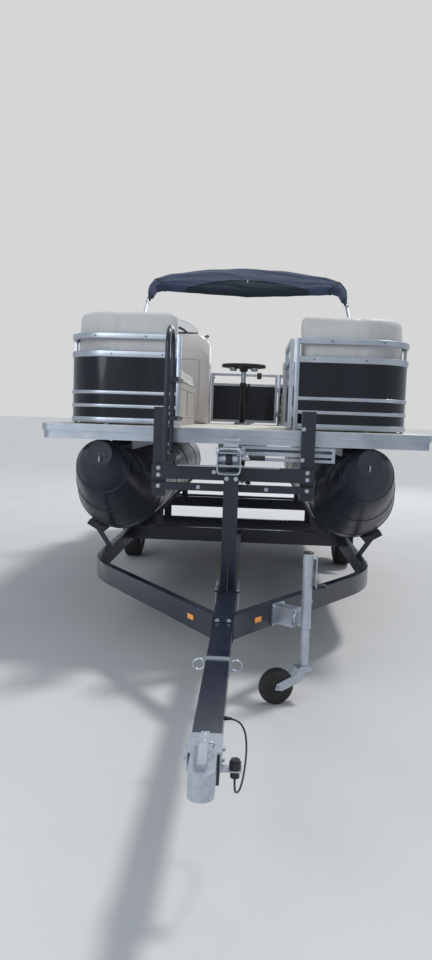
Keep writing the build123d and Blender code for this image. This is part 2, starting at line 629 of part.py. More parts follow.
swivel_x = EAR_IN - 5
swivel = rod(27, (-swivel_x, TILT_Y, TILT_Z), (swivel_x, TILT_Y, TILT_Z))
swivel_low, swivel_high = TILT_Z - 190, TILT_Z + 25
swivel += block((-34, 34), (TILT_Y + 12, STEER_Y), (swivel_low + 20, TILT_Z + 20))
swivel += rod(34, (0, STEER_Y, swivel_low), (0, STEER_Y, swivel_high))
swivel -= rod(15 + RUN, (-EAR_IN, TILT_Y, TILT_Z), (EAR_IN, TILT_Y, TILT_Z))
swivel -= rod(20 + RUN, (0, STEER_Y, swivel_low - 10), (0, STEER_Y, swivel_high + 10))
keep("swivel_bracket", swivel)

LEG_Y = TRANSOM_Y + 195.0
leg_mid = rod(20, (0, STEER_Y, swivel_low - 20), (0, STEER_Y, swivel_high + 20))
leg_mid += block((-45, 45), (STEER_Y - 30, LEG_Y), (swivel_high + 5, swivel_high + 25))
leg_mid += block((-40, 40), (STEER_Y - 30, LEG_Y), (swivel_low - 30, swivel_low - 5))


def pill(half_width, y, z):
    """Flat plan of a housing with round ends, at one height."""
    length = y[1] - y[0]
    outline = SlotOverall(length, 2 * half_width) if length > 2 * half_width + 1 else Circle(half_width)
    return Plane(origin=(0, (y[0] + y[1]) / 2, z), x_dir=(0, 1, 0), z_dir=(0, 0, 1)) * outline


LEG = (  # half width, front and rear from the steering axis, height above the propeller shaft
    (52.0, 45.0, 215.0, 760.0),
    (50.0, 45.0, 205.0, 540.0),
    (36.0, 55.0, 195.0, 240.0),
    (20.0, 60.0, 200.0, 190.0),
)


def upright(rows, base_y, base_z):
    """Housing through pill-shaped plans."""
    return loft([pill(w, (base_y + a, base_y + b), base_z + z) for w, a, b, z in rows], ruled=True)


leg_mid += upright(LEG, STEER_Y, PROP_Z)
leg_mid += extrude(pill(88, (STEER_Y + 30, STEER_Y + 400), PROP_Z + 168), 10)
leg_mid += upright(((17.0, 70.0, 240.0, 190.0), (17.0, 60.0, 260.0, 0.0)), STEER_Y, PROP_Z)
TORPEDO = (  # distance aft of the steering axis, radius
    (0.0, 10.0), (30.0, 34.0), (90.0, 48.0), (270.0, 48.0), (PROP_Y - SEAT - STEER_Y, 38.0),
)
leg_mid += loft([Plane(origin=(0, STEER_Y + y, PROP_Z), x_dir=(1, 0, 0), z_dir=(0, 1, 0)) * Circle(r)
                 for y, r in TORPEDO], ruled=True)
SKEG = ((80, 0), (260, 0), (290, -160), (200, -170), (80, -20))
leg_mid += side_plate([(STEER_Y + y, PROP_Z + z) for y, z in SKEG], (-5, 5))
PROP_LENGTH = 85.0
PROP_SHAFT = 9.0
leg_mid += rod(PROP_SHAFT, (0, PROP_Y - 10, PROP_Z), (0, PROP_Y + PROP_LENGTH + SEAT, PROP_Z))
leg_mid += rod(15, (0, PROP_Y + PROP_LENGTH + SEAT, PROP_Z), (0, PROP_Y + PROP_LENGTH + 14, PROP_Z))
keep("motor_leg", leg_mid)

COWL = (  # half width, front and rear from the steering axis, height above the leg's top
    (120.0, 55.0, 400.0, 0.5),
    (158.0, 40.0, 480.0, 80.0),
    (166.0, 36.0, 520.0, 220.0),
    (160.0, 40.0, COWL_REAR - STEER_Y, 360.0),
    (140.0, 65.0, 510.0, 460.0),
    (95.0, 120.0, 430.0, 505.0),
)
keep("motor_cowl", upright(COWL, STEER_Y, PROP_Z + LEG[0][-1]))

prop = rod(38, (0, PROP_Y, PROP_Z), (0, PROP_Y + PROP_LENGTH, PROP_Z))
for angle in (90, 210, 330):
    blade = Pos(0, PROP_Y + 42, PROP_Z) * Rot(0, angle, 0) * Pos(0, 0, 84) * Rot(0, 0, 28) * Rot(0, 90, 0) \
        * extrude(Rot(0, 0, 90) * Ellipse(36, 60), 3, both=True)
    prop += blade
prop -= rod(PROP_SHAFT + RUN, (0, PROP_Y - 5, PROP_Z), (0, PROP_Y + PROP_LENGTH + 5, PROP_Z))
keep("propeller", prop)

# Trailer frame: two rails that run in to the tongue, cross members and the tongue with its sleeve
wing_rise = (FRAME_X - WING_ROOT) / tan(radians(WING_ANGLE))
wing_corner = (FRAME_X, WING_START + wing_rise)
wing_origin = (0.0, WING_START - WING_ROOT / tan(radians(WING_ANGLE)))
rail_line = [wing_origin, wing_corner, (FRAME_X, FRAME_END)]
rail = wall(rail_line, [WING_RADIUS], FRAME_WIDTH / 2, -FRAME_WIDTH / 2, (FRAME_BOTTOM, FRAME_TOP))
sleeve_half = TONGUE_WIDTH / 2 + SEAT + SLEEVE_WALL
rail -= block((-sleeve_half * 3, sleeve_half), (TONGUE_FRONT, 0), (FRAME_BOTTOM - 10, FRAME_TOP + 10))
keep("trailer_rails", *port_and_starboard(rail))

CROSS_PLACES = (AXLE_Y - 1200.0, AXLE_Y - 500.0, FRAME_END - 500.0)
CROSS_HALF = 25.0
REAR_BAR = 1180.0
REAR_BAR_DEEP = 50.0
REAR_BAR_Z = (FRAME_TOP - 100.0, FRAME_TOP - 25.0)
cross_reach = FRAME_X - FRAME_WIDTH / 2
crossmembers = [block((-cross_reach, cross_reach), (y - CROSS_HALF, y + CROSS_HALF), (FRAME_BOTTOM + 2, FRAME_TOP))
                for y in CROSS_PLACES]
crossmembers.append(block((-REAR_BAR, REAR_BAR), (FRAME_END, FRAME_END + REAR_BAR_DEEP), REAR_BAR_Z))
keep("crossmembers", *crossmembers)
tongue_bottom = TONGUE_TOP - TONGUE_WIDTH
tongue_half = TONGUE_WIDTH / 2
# The lamps' wire leaves the tongue through a gland on its port side and ends in a plug beside the coupler
WIRE_EXIT = (TONGUE_WIDTH / 2 + 7.0, -2200.0, 465.0)
WIRE_RADIUS = 3.5
PLUG_X, PLUG_Y = 100.0, -2556.0
PLUG_BOTTOM = 428.0
HOLDER_Z = (452.0, 456.0)
gland = rod(8, (tongue_half - 1, *WIRE_EXIT[1:]), WIRE_EXIT)
tongue = block((-tongue_half, tongue_half), (TONGUE_FRONT, CROSS_PLACES[0] - CROSS_HALF), (tongue_bottom, TONGUE_TOP))
keep("tongue", tongue + gland)
bore_half = tongue_half + SEAT
sleeve = block((-sleeve_half, sleeve_half), (SLEEVE_FRONT, SLEEVE_REAR),
               (tongue_bottom - SEAT - SLEEVE_WALL, TONGUE_TOP + SEAT + SLEEVE_WALL))
sleeve -= block((-bore_half, bore_half), (SLEEVE_FRONT - 1, SLEEVE_REAR + 1),
                (tongue_bottom - SEAT, TONGUE_TOP + SEAT))
keep("tongue_sleeve", sleeve)
sleeve_top = TONGUE_TOP + SEAT + SLEEVE_WALL

# Band over the tongue, with an eye on each side for the safety chains
BAND_Y = (-1675.0, -1635.0)
BAND_WALL = 4.0
BAND_EYE = 24.0
band_half = bore_half + BAND_WALL
band = block((-band_half, band_half), BAND_Y, (TONGUE_TOP - 70, TONGUE_TOP + SEAT + BAND_WALL))
band -= block((-bore_half, bore_half), (BAND_Y[0] - 1, BAND_Y[1] + 1), (TONGUE_TOP - 71, TONGUE_TOP + SEAT))
for side in (-1, 1):
    eye_place = Pos(side * (band_half + BAND_EYE + 2), sum(BAND_Y) / 2, TONGUE_TOP - 28) * Rot(90, 0, 0)
    band += eye_place * Torus(BAND_EYE, 5)
keep("tongue_band", band)

# Coupler
COUPLER_Z = (425.0, 510.0)
SOCKET_Z = COUPLER_Z[0] + 27.0
SADDLE_LENGTH = 140.0
nose_half = 42.0
nose_face = Pos(0, (COUPLER_FRONT + TONGUE_FRONT) / 2, COUPLER_Z[0]) * RectangleRounded(
    2 * nose_half, TONGUE_FRONT - COUPLER_FRONT, nose_half - 1)
nose_block = extrude(nose_face, COUPLER_Z[1] - COUPLER_Z[0])
neck = block((-nose_half, nose_half), (BALL_Y + 20, TONGUE_FRONT), COUPLER_Z)
saddle = block((-bore_half - 5, bore_half + 5), (TONGUE_FRONT, TONGUE_FRONT + SADDLE_LENGTH), (440, TONGUE_TOP + 6))
saddle -= block((-bore_half, bore_half), (TONGUE_FRONT, TONGUE_FRONT + SADDLE_LENGTH + 1), (430, TONGUE_TOP + SEAT))
coupler = nose_block + neck + saddle
coupler -= Pos(0, BALL_Y, SOCKET_Z) * Sphere(BALL_RADIUS)
coupler -= rod(BALL_RADIUS, (0, BALL_Y, COUPLER_Z[0] - 5), (0, BALL_Y, SOCKET_Z))
LATCH = (  # distance aft of the coupler's front, height above its top
    (30, 0), (30, 20), (130, 38), (220, 38), (220, 30), (135, 28), (80, 0),
)
latch = side_plate([(COUPLER_FRONT + y, COUPLER_Z[1] + z) for y, z in LATCH], (-14, 14))
holder = block((bore_half + 4, PLUG_X + 22), (PLUG_Y - 22, PLUG_Y + 22), HOLDER_Z)
holder -= rod(15 + SEAT, (PLUG_X, PLUG_Y, HOLDER_Z[0] - 1), (PLUG_X, PLUG_Y, HOLDER_Z[1] + 1))
keep("coupler", coupler + latch + holder)
plug = rod(15, (PLUG_X, PLUG_Y, PLUG_BOTTOM), (PLUG_X, PLUG_Y, HOLDER_Z[1] + 30))
plug += rod(19, (PLUG_X, PLUG_Y, HOLDER_Z[1] + SEAT), (PLUG_X, PLUG_Y, HOLDER_Z[1] + 22))
keep("wiring_plug", plug)
WIRE_ROUTE = (  # across, distance aft, height: it hangs in one slack loop between its two ends
    (WIRE_EXIT[0] + SEAT, *WIRE_EXIT[1:]), (100.0, WIRE_EXIT[1], WIRE_EXIT[2]), (130.0, -2212.0, 430.0),
    (138.0, -2238.0, 377.0), (134.0, -2290.0, 335.0), (126.0, -2365.0, 316.0), (117.0, -2440.0, 322.0),
    (106.0, -2508.0, 349.0), (PLUG_X, PLUG_Y, 386.0), (PLUG_X, PLUG_Y, PLUG_BOTTOM - SEAT),
)


def route_radii(points):
    """Largest arc at each inner point that its two runs allow."""
    radii = []
    for a, b, c in zip(points, points[1:], points[2:]):
        first, second = Vector(*b) - Vector(*a), Vector(*c) - Vector(*b)
        half_turn = radians(first.get_angle(second)) / 2
        radii.append(0.45 * min(first.length, second.length) / tan(half_turn))
    return radii


wire_radii = route_radii(WIRE_ROUTE)
wire_line = FilletPolyline(*WIRE_ROUTE, radius=wire_radii)
print("wiring_cord length", round(wire_line.length, 1), "radii", [round(r) for r in wire_radii])
wire = bend(wire_line, WIRE_RADIUS)
expected = pi * WIRE_RADIUS ** 2 * wire_line.length
print("wiring_cord volume", round(wire.volume), "section times length", round(expected))
keep("wiring_cord", wire)

# Winch stand
SADDLE_HALF = 75.0
SADDLE_Y = (POST_Y - 90.0, POST_Y + 85.0)
SADDLE_THICK = 10.0
GUSSET_TALL = 190.0
ARM_HALF = 38.0
ARM_BOTTOM = 1160.0
BEAM_Y = (-125.0, -75.0)
BEAM_LEVELS = ((1154.0, 1245.0), (1083.0, 1129.0))
PAD_HALF = 35.0
PAD_BOTTOM = 1300.0
PAD_TOP = STOP_TOP - 60.0
U_BOLT_X = 66.0
U_BOLT_RADIUS = 6.0
U_BOLT_Z = (380.0, 545.0)
U_BOLT_PLACES = (POST_Y - 75.0, POST_Y + 72.0)
post_half = POST_WIDTH / 2
saddle_top = sleeve_top + SADDLE_THICK
saddle_plate = block((-SADDLE_HALF, SADDLE_HALF), SADDLE_Y, (sleeve_top, saddle_top))
post = block((-post_half, post_half), (POST_Y - post_half, POST_Y + post_half), (saddle_top, POST_TOP))
gusset = side_plate([(SADDLE_Y[0], saddle_top), (POST_Y - post_half, saddle_top),
                     (POST_Y - post_half, saddle_top + GUSSET_TALL)], (-4, 4))
arm = block((-ARM_HALF, ARM_HALF), (POST_Y + post_half, BEAM_Y[0]), (ARM_BOTTOM, POST_TOP))
beam_reach = STOP_X + post_half
STOP_Y = (BEAM_Y[1], BEAM_Y[1] + STOP_DEPTH)
beams = None
for level in BEAM_LEVELS:
    beam = block((-beam_reach, beam_reach), BEAM_Y, level)
    beams = beam if beams is None else beams + beam
pads = []
for side in (-1, 1):
    stop_x = sorted((side * (STOP_X - post_half), side * (STOP_X + post_half)))
    beams += block(stop_x, STOP_Y, (STOP_BOTTOM, STOP_TOP))
    pad_x = sorted((side * (STOP_X - PAD_HALF), side * (STOP_X + PAD_HALF)))
    pads.append(block(pad_x, (STOP_Y[1], -SEAT), (PAD_BOTTOM, PAD_TOP)))
keep("bow_stops", beams)
keep("bow_stop_pads", *pads)
ubolts = []
for y in U_BOLT_PLACES:
    line = FilletPolyline((-U_BOLT_X, y, U_BOLT_Z[1]), (-U_BOLT_X, y, U_BOLT_Z[0]), (U_BOLT_X, y, U_BOLT_Z[0]),
                          (U_BOLT_X, y, U_BOLT_Z[1]), radius=2 * U_BOLT_RADIUS)
    ubolts.append(bend(line, U_BOLT_RADIUS))
    for x in (-U_BOLT_X, U_BOLT_X):
        saddle_plate -= rod(U_BOLT_RADIUS + RUN, (x, y, sleeve_top - 1), (x, y, saddle_top + 1))
keep("u_bolts", *ubolts)
keep("winch_post", saddle_plate + post + gusset + arm)

# Winch: a rounded channel open to the front, its drum and tie bars, a ratchet bracket and a crank
WINCH_X = -17.0
WINCH_HALF = 72.0
WINCH_TOP = 1374.0
WINCH_WALL = 5.0
WINCH_Y = (POST_Y - 70.0, POST_Y + 60.0)
DRUM_Z = 1311.0
DRUM_RADIUS = 38.0
RATCHET_X = (-51.0, 34.0)
RATCHET_TOP = 1440.0
CRANK_ARM = 200.0
CRANK_GRIP = 108.0
winch_tall = WINCH_TOP - POST_TOP
winch_place = Plane(origin=(WINCH_X, WINCH_Y[0], POST_TOP + winch_tall / 2), x_dir=(1, 0, 0), z_dir=(0, -1, 0))
winch_ring = (RectangleRounded(2 * WINCH_HALF, winch_tall, 22)
              - RectangleRounded(2 * (WINCH_HALF - WINCH_WALL), winch_tall - 2 * WINCH_WALL, 22 - WINCH_WALL))
winch = extrude(winch_place * winch_ring, WINCH_Y[1] - WINCH_Y[0], dir=(0, 1, 0))
winch_inside = (WINCH_X - WINCH_HALF + WINCH_WALL - 1, WINCH_X + WINCH_HALF - WINCH_WALL + 1)
winch += rod(DRUM_RADIUS, (winch_inside[0], POST_Y, DRUM_Z), (winch_inside[1], POST_Y, DRUM_Z))
for y, z in ((-58.0, 1348.0), (-58.0, 1270.0), (48.0, 1348.0)):
    winch += rod(6, (winch_inside[0], POST_Y + y, z), (winch_inside[1], POST_Y + y, z))
for x in RATCHET_X:
    ratchet = block((x - 2, x + 2), (POST_Y - 34, POST_Y + 16), (WINCH_TOP - WINCH_WALL, RATCHET_TOP))
    top_edges = [e for e in ratchet.edges().filter_by(Axis.X) if e.center().Z > RATCHET_TOP - 1]
    winch += fillet(top_edges, 18)
winch += rod(6, (RATCHET_X[0] - 4, POST_Y - 8, 1422), (RATCHET_X[1] + 10, POST_Y - 8, 1422))
winch += rod(13, (RATCHET_X[1] + 2, POST_Y - 8, 1422), (RATCHET_X[1] + 12, POST_Y - 8, 1422))
winch += block((RATCHET_X[0], RATCHET_X[1]), (POST_Y - 30, POST_Y - 24), (1384, 1402))
crank_x = WINCH_X + WINCH_HALF + 42
winch += rod(9, (WINCH_X + WINCH_HALF - 2, POST_Y, DRUM_Z), (crank_x + 4, POST_Y, DRUM_Z))
winch += block((crank_x - 3, crank_x + 3), (POST_Y - 14, POST_Y + CRANK_ARM), (DRUM_Z - 13, DRUM_Z + 13))
winch += rod(13, (crank_x, POST_Y + CRANK_ARM - 14, DRUM_Z), (crank_x + CRANK_GRIP, POST_Y + CRANK_ARM - 14, DRUM_Z))
keep("winch", winch)

# Boarding ladder beside the starboard bow stop
LADDER_X = -411.0
LADDER_TUBE = 16.0
LADDER_Y = (-365.0, -65.0)
LADDER_FOOT = 1270.0
LADDER_TOP = 2105.0
hoop = FilletPolyline((LADDER_X, LADDER_Y[0], LADDER_FOOT), (LADDER_X, LADDER_Y[0], LADDER_TOP),
                      (LADDER_X, LADDER_Y[1], LADDER_TOP), (LADDER_X, LADDER_Y[1], LADDER_FOOT), radius=140)
ladder = bend(hoop, LADDER_TUBE)
TREADS = (1290.0, 1530.0, 1770.0)
TREAD_THICK = 25.0
TREAD_REACH = 70.0
LADDER_CLAMPS = (1345.0, 1545.0)
CLAMP_HALF = 45.0
for z in TREADS:
    ladder += block((LADDER_X - LADDER_TUBE, LADDER_X + TREAD_REACH), LADDER_Y, (z, z + TREAD_THICK))
for z in LADDER_CLAMPS:
    ladder += block((-STOP_X + post_half, LADDER_X), (LADDER_Y[1] - 8, LADDER_Y[1] + 30),
                    (z - CLAMP_HALF, z + CLAMP_HALF))
keep("boarding_ladder", ladder)

# Bow ladder, slid home under the deck: its frame, its treads and the two slides that carry it
STOW_X = (56.0, 668.0)
STOW_Z = (1280.0, 1378.0)
STOW_FRONT = 34.0
STOW_BAR = 20.0
stow_end = CHANNEL_FIRST + 2 * channel_step + STOW_BAR     # the slides hang from the first and the third channel
stow = block(STOW_X, (STOW_FRONT, STOW_FRONT + 26), STOW_Z)
stow -= block((STOW_X[0] + STOW_BAR, STOW_X[1] - STOW_BAR), (STOW_FRONT - 1, STOW_FRONT + 27),
              (STOW_Z[0] + STOW_BAR, STOW_Z[1] - STOW_BAR))
slide_z = (1312.0, 1346.0)
for x in STOW_X:
    inward = STOW_BAR if x == STOW_X[0] else -STOW_BAR
    slide_x = sorted((x, x + inward))
    stow += block(slide_x, (STOW_FRONT, stow_end), slide_z)
    for i in (0, 2):
        middle = CHANNEL_FIRST + i * channel_step
        stow += block(slide_x, (middle - STOW_BAR, middle + STOW_BAR), (slide_z[0], CHANNEL_BOTTOM))
STOW_TREAD = 60.0
STOW_TREADS = 4
stow_step = (stow_end - STOW_FRONT - STOW_BAR - STOW_TREAD) / (STOW_TREADS - 1)
for i in range(STOW_TREADS):
    y = STOW_FRONT + 6 + i * stow_step
    stow += block(STOW_X, (y, y + STOW_TREAD), (slide_z[0] + 2, slide_z[1] - 8))
keep("bow_ladder", stow)

# Bunks and their brackets
angle = radians(BUNK_ANGLE)


def bunk_point(along, down, outer):
    """X, Z of a point of a bunk's section, for the port tube."""
    x = TUBE_RADIUS * sin(angle) + along * cos(angle) + (down + SEAT) * sin(angle)
    z = TUBE_Z - TUBE_RADIUS * cos(angle) + along * sin(angle) - (down + SEAT) * cos(angle)
    return (TUBE_X + (x if outer else -x), z)


OUTER_START, INNER_START = 750.0, 1500.0
OUTER_PLACES = (OUTER_START + 100.0, *CROSS_PLACES[:2], 3650.0, CROSS_PLACES[2])
BRACKET_HALF = 5.0
bunk_half = BUNK_WIDTH / 2
bunks, brackets = [], []
for outer in (True, False):
    corners = [bunk_point(a, d, outer) for a, d in
               ((-bunk_half, 0), (bunk_half, 0), (bunk_half, BUNK_THICK), (-bunk_half, BUNK_THICK))]
    start = OUTER_START if outer else INNER_START
    bunks += port_and_starboard(cross_plate(corners, (start, BUNK_END)))
    low, high = (bunk_point(s, BUNK_THICK + SEAT, outer) for s in (-45, 40))
    if outer:
        feet = [(FRAME_X - 20, FRAME_TOP), (FRAME_X + 22, FRAME_TOP)]
    else:
        feet = [(low[0], FRAME_TOP), (high[0], FRAME_TOP)]
    for y in OUTER_PLACES if outer else CROSS_PLACES:
        outline = [feet[0], feet[1], high, low]
        brackets += port_and_starboard(cross_plate(outline, (y - BRACKET_HALF, y + BRACKET_HALF)))
keep("bunks", *bunks)
keep("bunk_brackets", *brackets)

# Axle with trailing arms, wheels and fenders
arm_front = AXLE_Y - ARM_LENGTH
axle_top = FRAME_BOTTOM
axle_end = FRAME_X + FRAME_WIDTH / 2
axle_x = (-axle_end, axle_end)
axle = block(axle_x, (arm_front - AXLE_TUBE / 2, arm_front + AXLE_TUBE / 2), (axle_top - AXLE_TUBE, axle_top))
arm_z = axle_top - AXLE_TUBE / 2
ARM_X = (axle_end, axle_end + 24)
arm_outline = [(arm_front - 30, arm_z - 30), (AXLE_Y + 25, TYRE_RADIUS - 25), (AXLE_Y + 25, TYRE_RADIUS + 25),
               (arm_front - 30, arm_z + 30)]
for side in (-1, 1):
    arm_x = sorted((side * ARM_X[0], side * ARM_X[1]))
    axle += side_plate(arm_outline, arm_x)
    axle += rod(SPINDLE, (side * ARM_X[0], AXLE_Y, TYRE_RADIUS), (side * (WHEEL_X + 10), AXLE_Y, TYRE_RADIUS))
keep("axle", axle)

hub_inner = ARM_X[1] + 6


def wheel_parts(side):
    """Tyre and rim with hub, about the X axis, moved to their place."""
    tyre_half = TYRE_WIDTH / 2
    bead = RIM_RADIUS
    tyre_outline = Polyline((-tyre_half + 22, bead), (-tyre_half, bead + 50), (-tyre_half + 6, TYRE_RADIUS - 22),
                            (-tyre_half + 26, TYRE_RADIUS), (tyre_half - 26, TYRE_RADIUS),
                            (tyre_half - 6, TYRE_RADIUS - 22), (tyre_half, bead + 50),
                            (tyre_half - 22, bead), close=True)
    tyre = revolve(make_face(tyre_outline), Axis.X)
    barrel_half = tyre_half - 14
    rim_outline = Polyline((-barrel_half, bead - 0.5), (barrel_half, bead - 0.5), (barrel_half, bead - 8),
                           (20, bead - 12), (20, 55), (30, 50), (30, SPINDLE + 6), (24, SPINDLE + 6),
                           (24, SPINDLE + RUN), (hub_inner - WHEEL_X, SPINDLE + RUN),
                           (hub_inner - WHEEL_X, 45), (8, 50), (10, bead - 14), (-barrel_half, bead - 8),
                           close=True)
    rim = revolve(make_face(rim_outline), Axis.X)
    for i in range(WHEEL_HOLES):
        turn = Rot(360 / WHEEL_HOLES * i, 0, 0)
        rim -= turn * rod(HOLE_RADIUS, (0, 0, HOLE_CIRCLE), (40, 0, HOLE_CIRCLE))
    place = Pos(WHEEL_X, AXLE_Y, TYRE_RADIUS)
    pair = [place * tyre, place * rim]
    return pair if side > 0 else [mirror(s, Plane.YZ) for s in pair]


for side, word in ((1, "port"), (-1, "starboard")):
    tyre, rim = wheel_parts(side)
    keep("tyre_" + word, tyre)
    keep("rim_" + word, rim)

FENDER_X = (1050.0, 1250.0)
FENDER_WALL = 4.0
FENDER_LINE = ((-440.0, 415.0), (-330.0, 570.0), (-190.0, 640.0), (190.0, 640.0), (330.0, 570.0), (440.0, 415.0))
FENDER_RADII = (70.0, 160.0, 160.0, 70.0)
FENDER_ARM = (405.0, 445.0)
fender_edges = []
for offset, sign in ((0.0, 0), (-FENDER_WALL, 1)):
    line = shifted(FENDER_LINE, offset)
    fender_edges.append(FilletPolyline(*line, radius=[r - sign * FENDER_WALL for r in FENDER_RADII]))
over, under = fender_edges
fender_face = make_face([over, Line(over @ 1, under @ 1), under, Line(under @ 0, over @ 0)])
fender_place = Plane(origin=(FENDER_X[0], AXLE_Y, 0), x_dir=(0, 1, 0), z_dir=(1, 0, 0))
fender = extrude(fender_place * fender_face, FENDER_X[1] - FENDER_X[0], dir=(1, 0, 0))
for y in (FENDER_LINE[0][0], FENDER_LINE[-1][0]):
    arm_y = sorted((AXLE_Y + y * 0.985, AXLE_Y + y))
    fender += block((axle_end, FENDER_X[1] - 20), arm_y, FENDER_ARM)
keep("fenders", *port_and_starboard(fender))

LAMP_X = (1020.0, 1160.0)
lamps = port_and_starboard(block(LAMP_X, (FRAME_END + REAR_BAR_DEEP, FRAME_END + REAR_BAR_DEEP + 35),
                                  (REAR_BAR_Z[0] - 5, REAR_BAR_Z[1] + 10)))
keep("tail_lamps", *lamps)

# Jack on the port wing: bracket, sliding leg, caster
heading = Vector(sin(radians(WING_ANGLE)), cos(radians(WING_ANGLE)), 0)
outward = Vector(cos(radians(WING_ANGLE)), -sin(radians(WING_ANGLE)), 0)
wing_face = Vector(WING_ROOT, WING_START, JACK_PIVOT_Z) + heading * JACK_ALONG + outward * (FRAME_WIDTH / 2)
jack_axis = wing_face + outward * JACK_OUT
jack_xy = (jack_axis.X, jack_axis.Y)


def on_wing(out, along, up):
    """Frame of the jack's bracket: outwards from the wing's face, along the wing, up."""
    return wing_face + outward * out + heading * along + Vector(0, 0, up)


wing_frame = Plane(origin=wing_face, x_dir=outward, z_dir=(0, 0, 1))


def wing_block(out, along, up):
    size = [hi - lo for lo, hi in (out, along, up)]
    local = Pos(out[0], along[0], up[0]) * Box(*size, align=(Align.MIN,) * 3)
    return wing_frame * local


HUB_FACE = JACK_OUT - JACK_OUTER - 30
bracket = wing_block((0, 8), (-55, 55), (-60, 60))
for along in (-40, 32):
    bracket += wing_block((8, HUB_FACE - 12), (along, along + 8), (-50, 50))
bracket += wing_block((HUB_FACE - 12, HUB_FACE - 2), (-48, 48), (-50, 50))
bracket += rod(14, tuple(on_wing(HUB_FACE - 12, 0, 0)), tuple(on_wing(HUB_FACE + 14, 0, 0)))
keep("jack_bracket", bracket)

COLLARS = (  # radius, lower and upper height: the pinned collar, and the cap under the crank
    (33.0, 560.0, 574.0), (31.5, JACK_TOP - 52.0, JACK_TOP - 40.0),
)
body = rod(JACK_OUTER, (*jack_xy, JACK_BOTTOM), (*jack_xy, JACK_TOP))
for radius, low, high in COLLARS:
    body += rod(radius, (*jack_xy, low), (*jack_xy, high))
flange = rod(46, tuple(on_wing(HUB_FACE, 0, 0)), tuple(on_wing(HUB_FACE + 16, 0, 0)))
web = wing_block((HUB_FACE + 12, JACK_OUT), (-18, 18), (-40, 40))
body += flange + web
body -= rod(14 + RUN, tuple(on_wing(HUB_FACE - 5, 0, 0)), tuple(on_wing(HUB_FACE + 14 + RUN, 0, 0)))
body -= rod(JACK_INNER + 1, (*jack_xy, JACK_BOTTOM - 1), (*jack_xy, JACK_TOP - 12))
crank_x = jack_xy[0] + JACK_OUTER
body += rod(7, (crank_x - 10, jack_xy[1], JACK_TOP - 25), (crank_x + 22, jack_xy[1], JACK_TOP - 25))
body += block((crank_x + 16, crank_x + 22), (jack_xy[1] - 9, jack_xy[1] + 9), (JACK_TOP - 190, JACK_TOP - 15))
body += rod(9, (crank_x + 16, jack_xy[1], JACK_TOP - 180), (crank_x + 75, jack_xy[1], JACK_TOP - 180))
keep("jack_body", body)

LEG_LOW = 205.0        # lower end of the sliding leg
keep("jack_leg", rod(JACK_INNER, (*jack_xy, LEG_LOW), (*jack_xy, JACK_LEG_TOP))
     + rod(12, (*jack_xy, LEG_LOW - 24), (*jack_xy, LEG_LOW)))
trail = Vector(CASTER_HEADING[0], CASTER_HEADING[1], 0).normalized()
caster_frame = Plane(origin=(*jack_xy, 0), x_dir=trail, z_dir=(0, 0, 1))
fork_gap = CASTER_WIDTH / 2 + 4
fork_outline = [(-30, LEG_LOW - 2), (-30, LEG_LOW - 30), (5, LEG_LOW - 30), (40, 120), (CASTER_TRAIL - 20, 82),
                (CASTER_TRAIL + 22, 90), (CASTER_TRAIL + 14, 122), (70, 165), (42, LEG_LOW - 2)]
fork = None
for side in (-1, 1):
    cheek = cross_plate(fork_outline, sorted((side * fork_gap, side * (fork_gap + 4))))
    fork = cheek if fork is None else fork + cheek
fork += Pos(0, 0, LEG_LOW - 24) * Box(60, 2 * fork_gap + 8, 22, align=upward)
fork -= Cylinder(12 + RUN, 500)
axle_pin = rod(8, (CASTER_TRAIL, -fork_gap - 8, CASTER_WHEEL), (CASTER_TRAIL, fork_gap + 8, CASTER_WHEEL))
keep("jack_caster", caster_frame * (fork + axle_pin))
caster_wheel = rod(CASTER_WHEEL, (CASTER_TRAIL, -CASTER_WIDTH / 2, CASTER_WHEEL),
                   (CASTER_TRAIL, CASTER_WIDTH / 2, CASTER_WHEEL))
caster_wheel -= rod(8 + RUN, (CASTER_TRAIL, -CASTER_WIDTH, CASTER_WHEEL), (CASTER_TRAIL, CASTER_WIDTH, CASTER_WHEEL))
keep("jack_wheel", caster_frame * caster_wheel)

for name, solids in nodes.items():
    moved = [Pos(0, SHIFT_Y, 0) * s for s in solids]
    shape = moved[0] if len(moved) == 1 else Compound(children=moved)
    export_step(shape, "parts/" + name + ".step")
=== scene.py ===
"""Pontoon boat on its single-axle trailer: finishes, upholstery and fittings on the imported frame.

Metres. +X is port, +Y is aft, +Z is up. Places along the boat are counted from the front edge of
the deck, as in the part's own source, and `at` turns them into the frame's own numbers.
"""
import json
import math

import bmesh
import bpy
import numpy as np
from mathutils import Matrix, Vector
from mathutils.bvhtree import BVHTree


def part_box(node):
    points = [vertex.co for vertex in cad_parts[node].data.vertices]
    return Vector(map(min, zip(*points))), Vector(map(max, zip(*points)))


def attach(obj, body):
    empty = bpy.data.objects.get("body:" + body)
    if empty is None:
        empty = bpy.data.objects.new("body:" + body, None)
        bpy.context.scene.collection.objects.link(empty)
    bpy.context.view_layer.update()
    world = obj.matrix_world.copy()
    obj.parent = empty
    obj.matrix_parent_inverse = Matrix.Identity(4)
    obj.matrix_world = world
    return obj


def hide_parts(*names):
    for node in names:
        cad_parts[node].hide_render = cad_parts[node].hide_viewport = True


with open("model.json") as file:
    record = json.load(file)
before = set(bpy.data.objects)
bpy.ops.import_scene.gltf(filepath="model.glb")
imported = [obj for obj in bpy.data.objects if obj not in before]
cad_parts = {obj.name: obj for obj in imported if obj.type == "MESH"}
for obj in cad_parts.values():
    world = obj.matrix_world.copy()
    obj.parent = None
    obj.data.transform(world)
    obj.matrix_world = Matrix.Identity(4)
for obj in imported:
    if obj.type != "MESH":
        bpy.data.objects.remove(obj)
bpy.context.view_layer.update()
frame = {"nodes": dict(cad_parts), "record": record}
nodes = frame["nodes"]
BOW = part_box("deck_trim")[0].y          # front edge of the deck
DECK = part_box("deck_board")[1].z
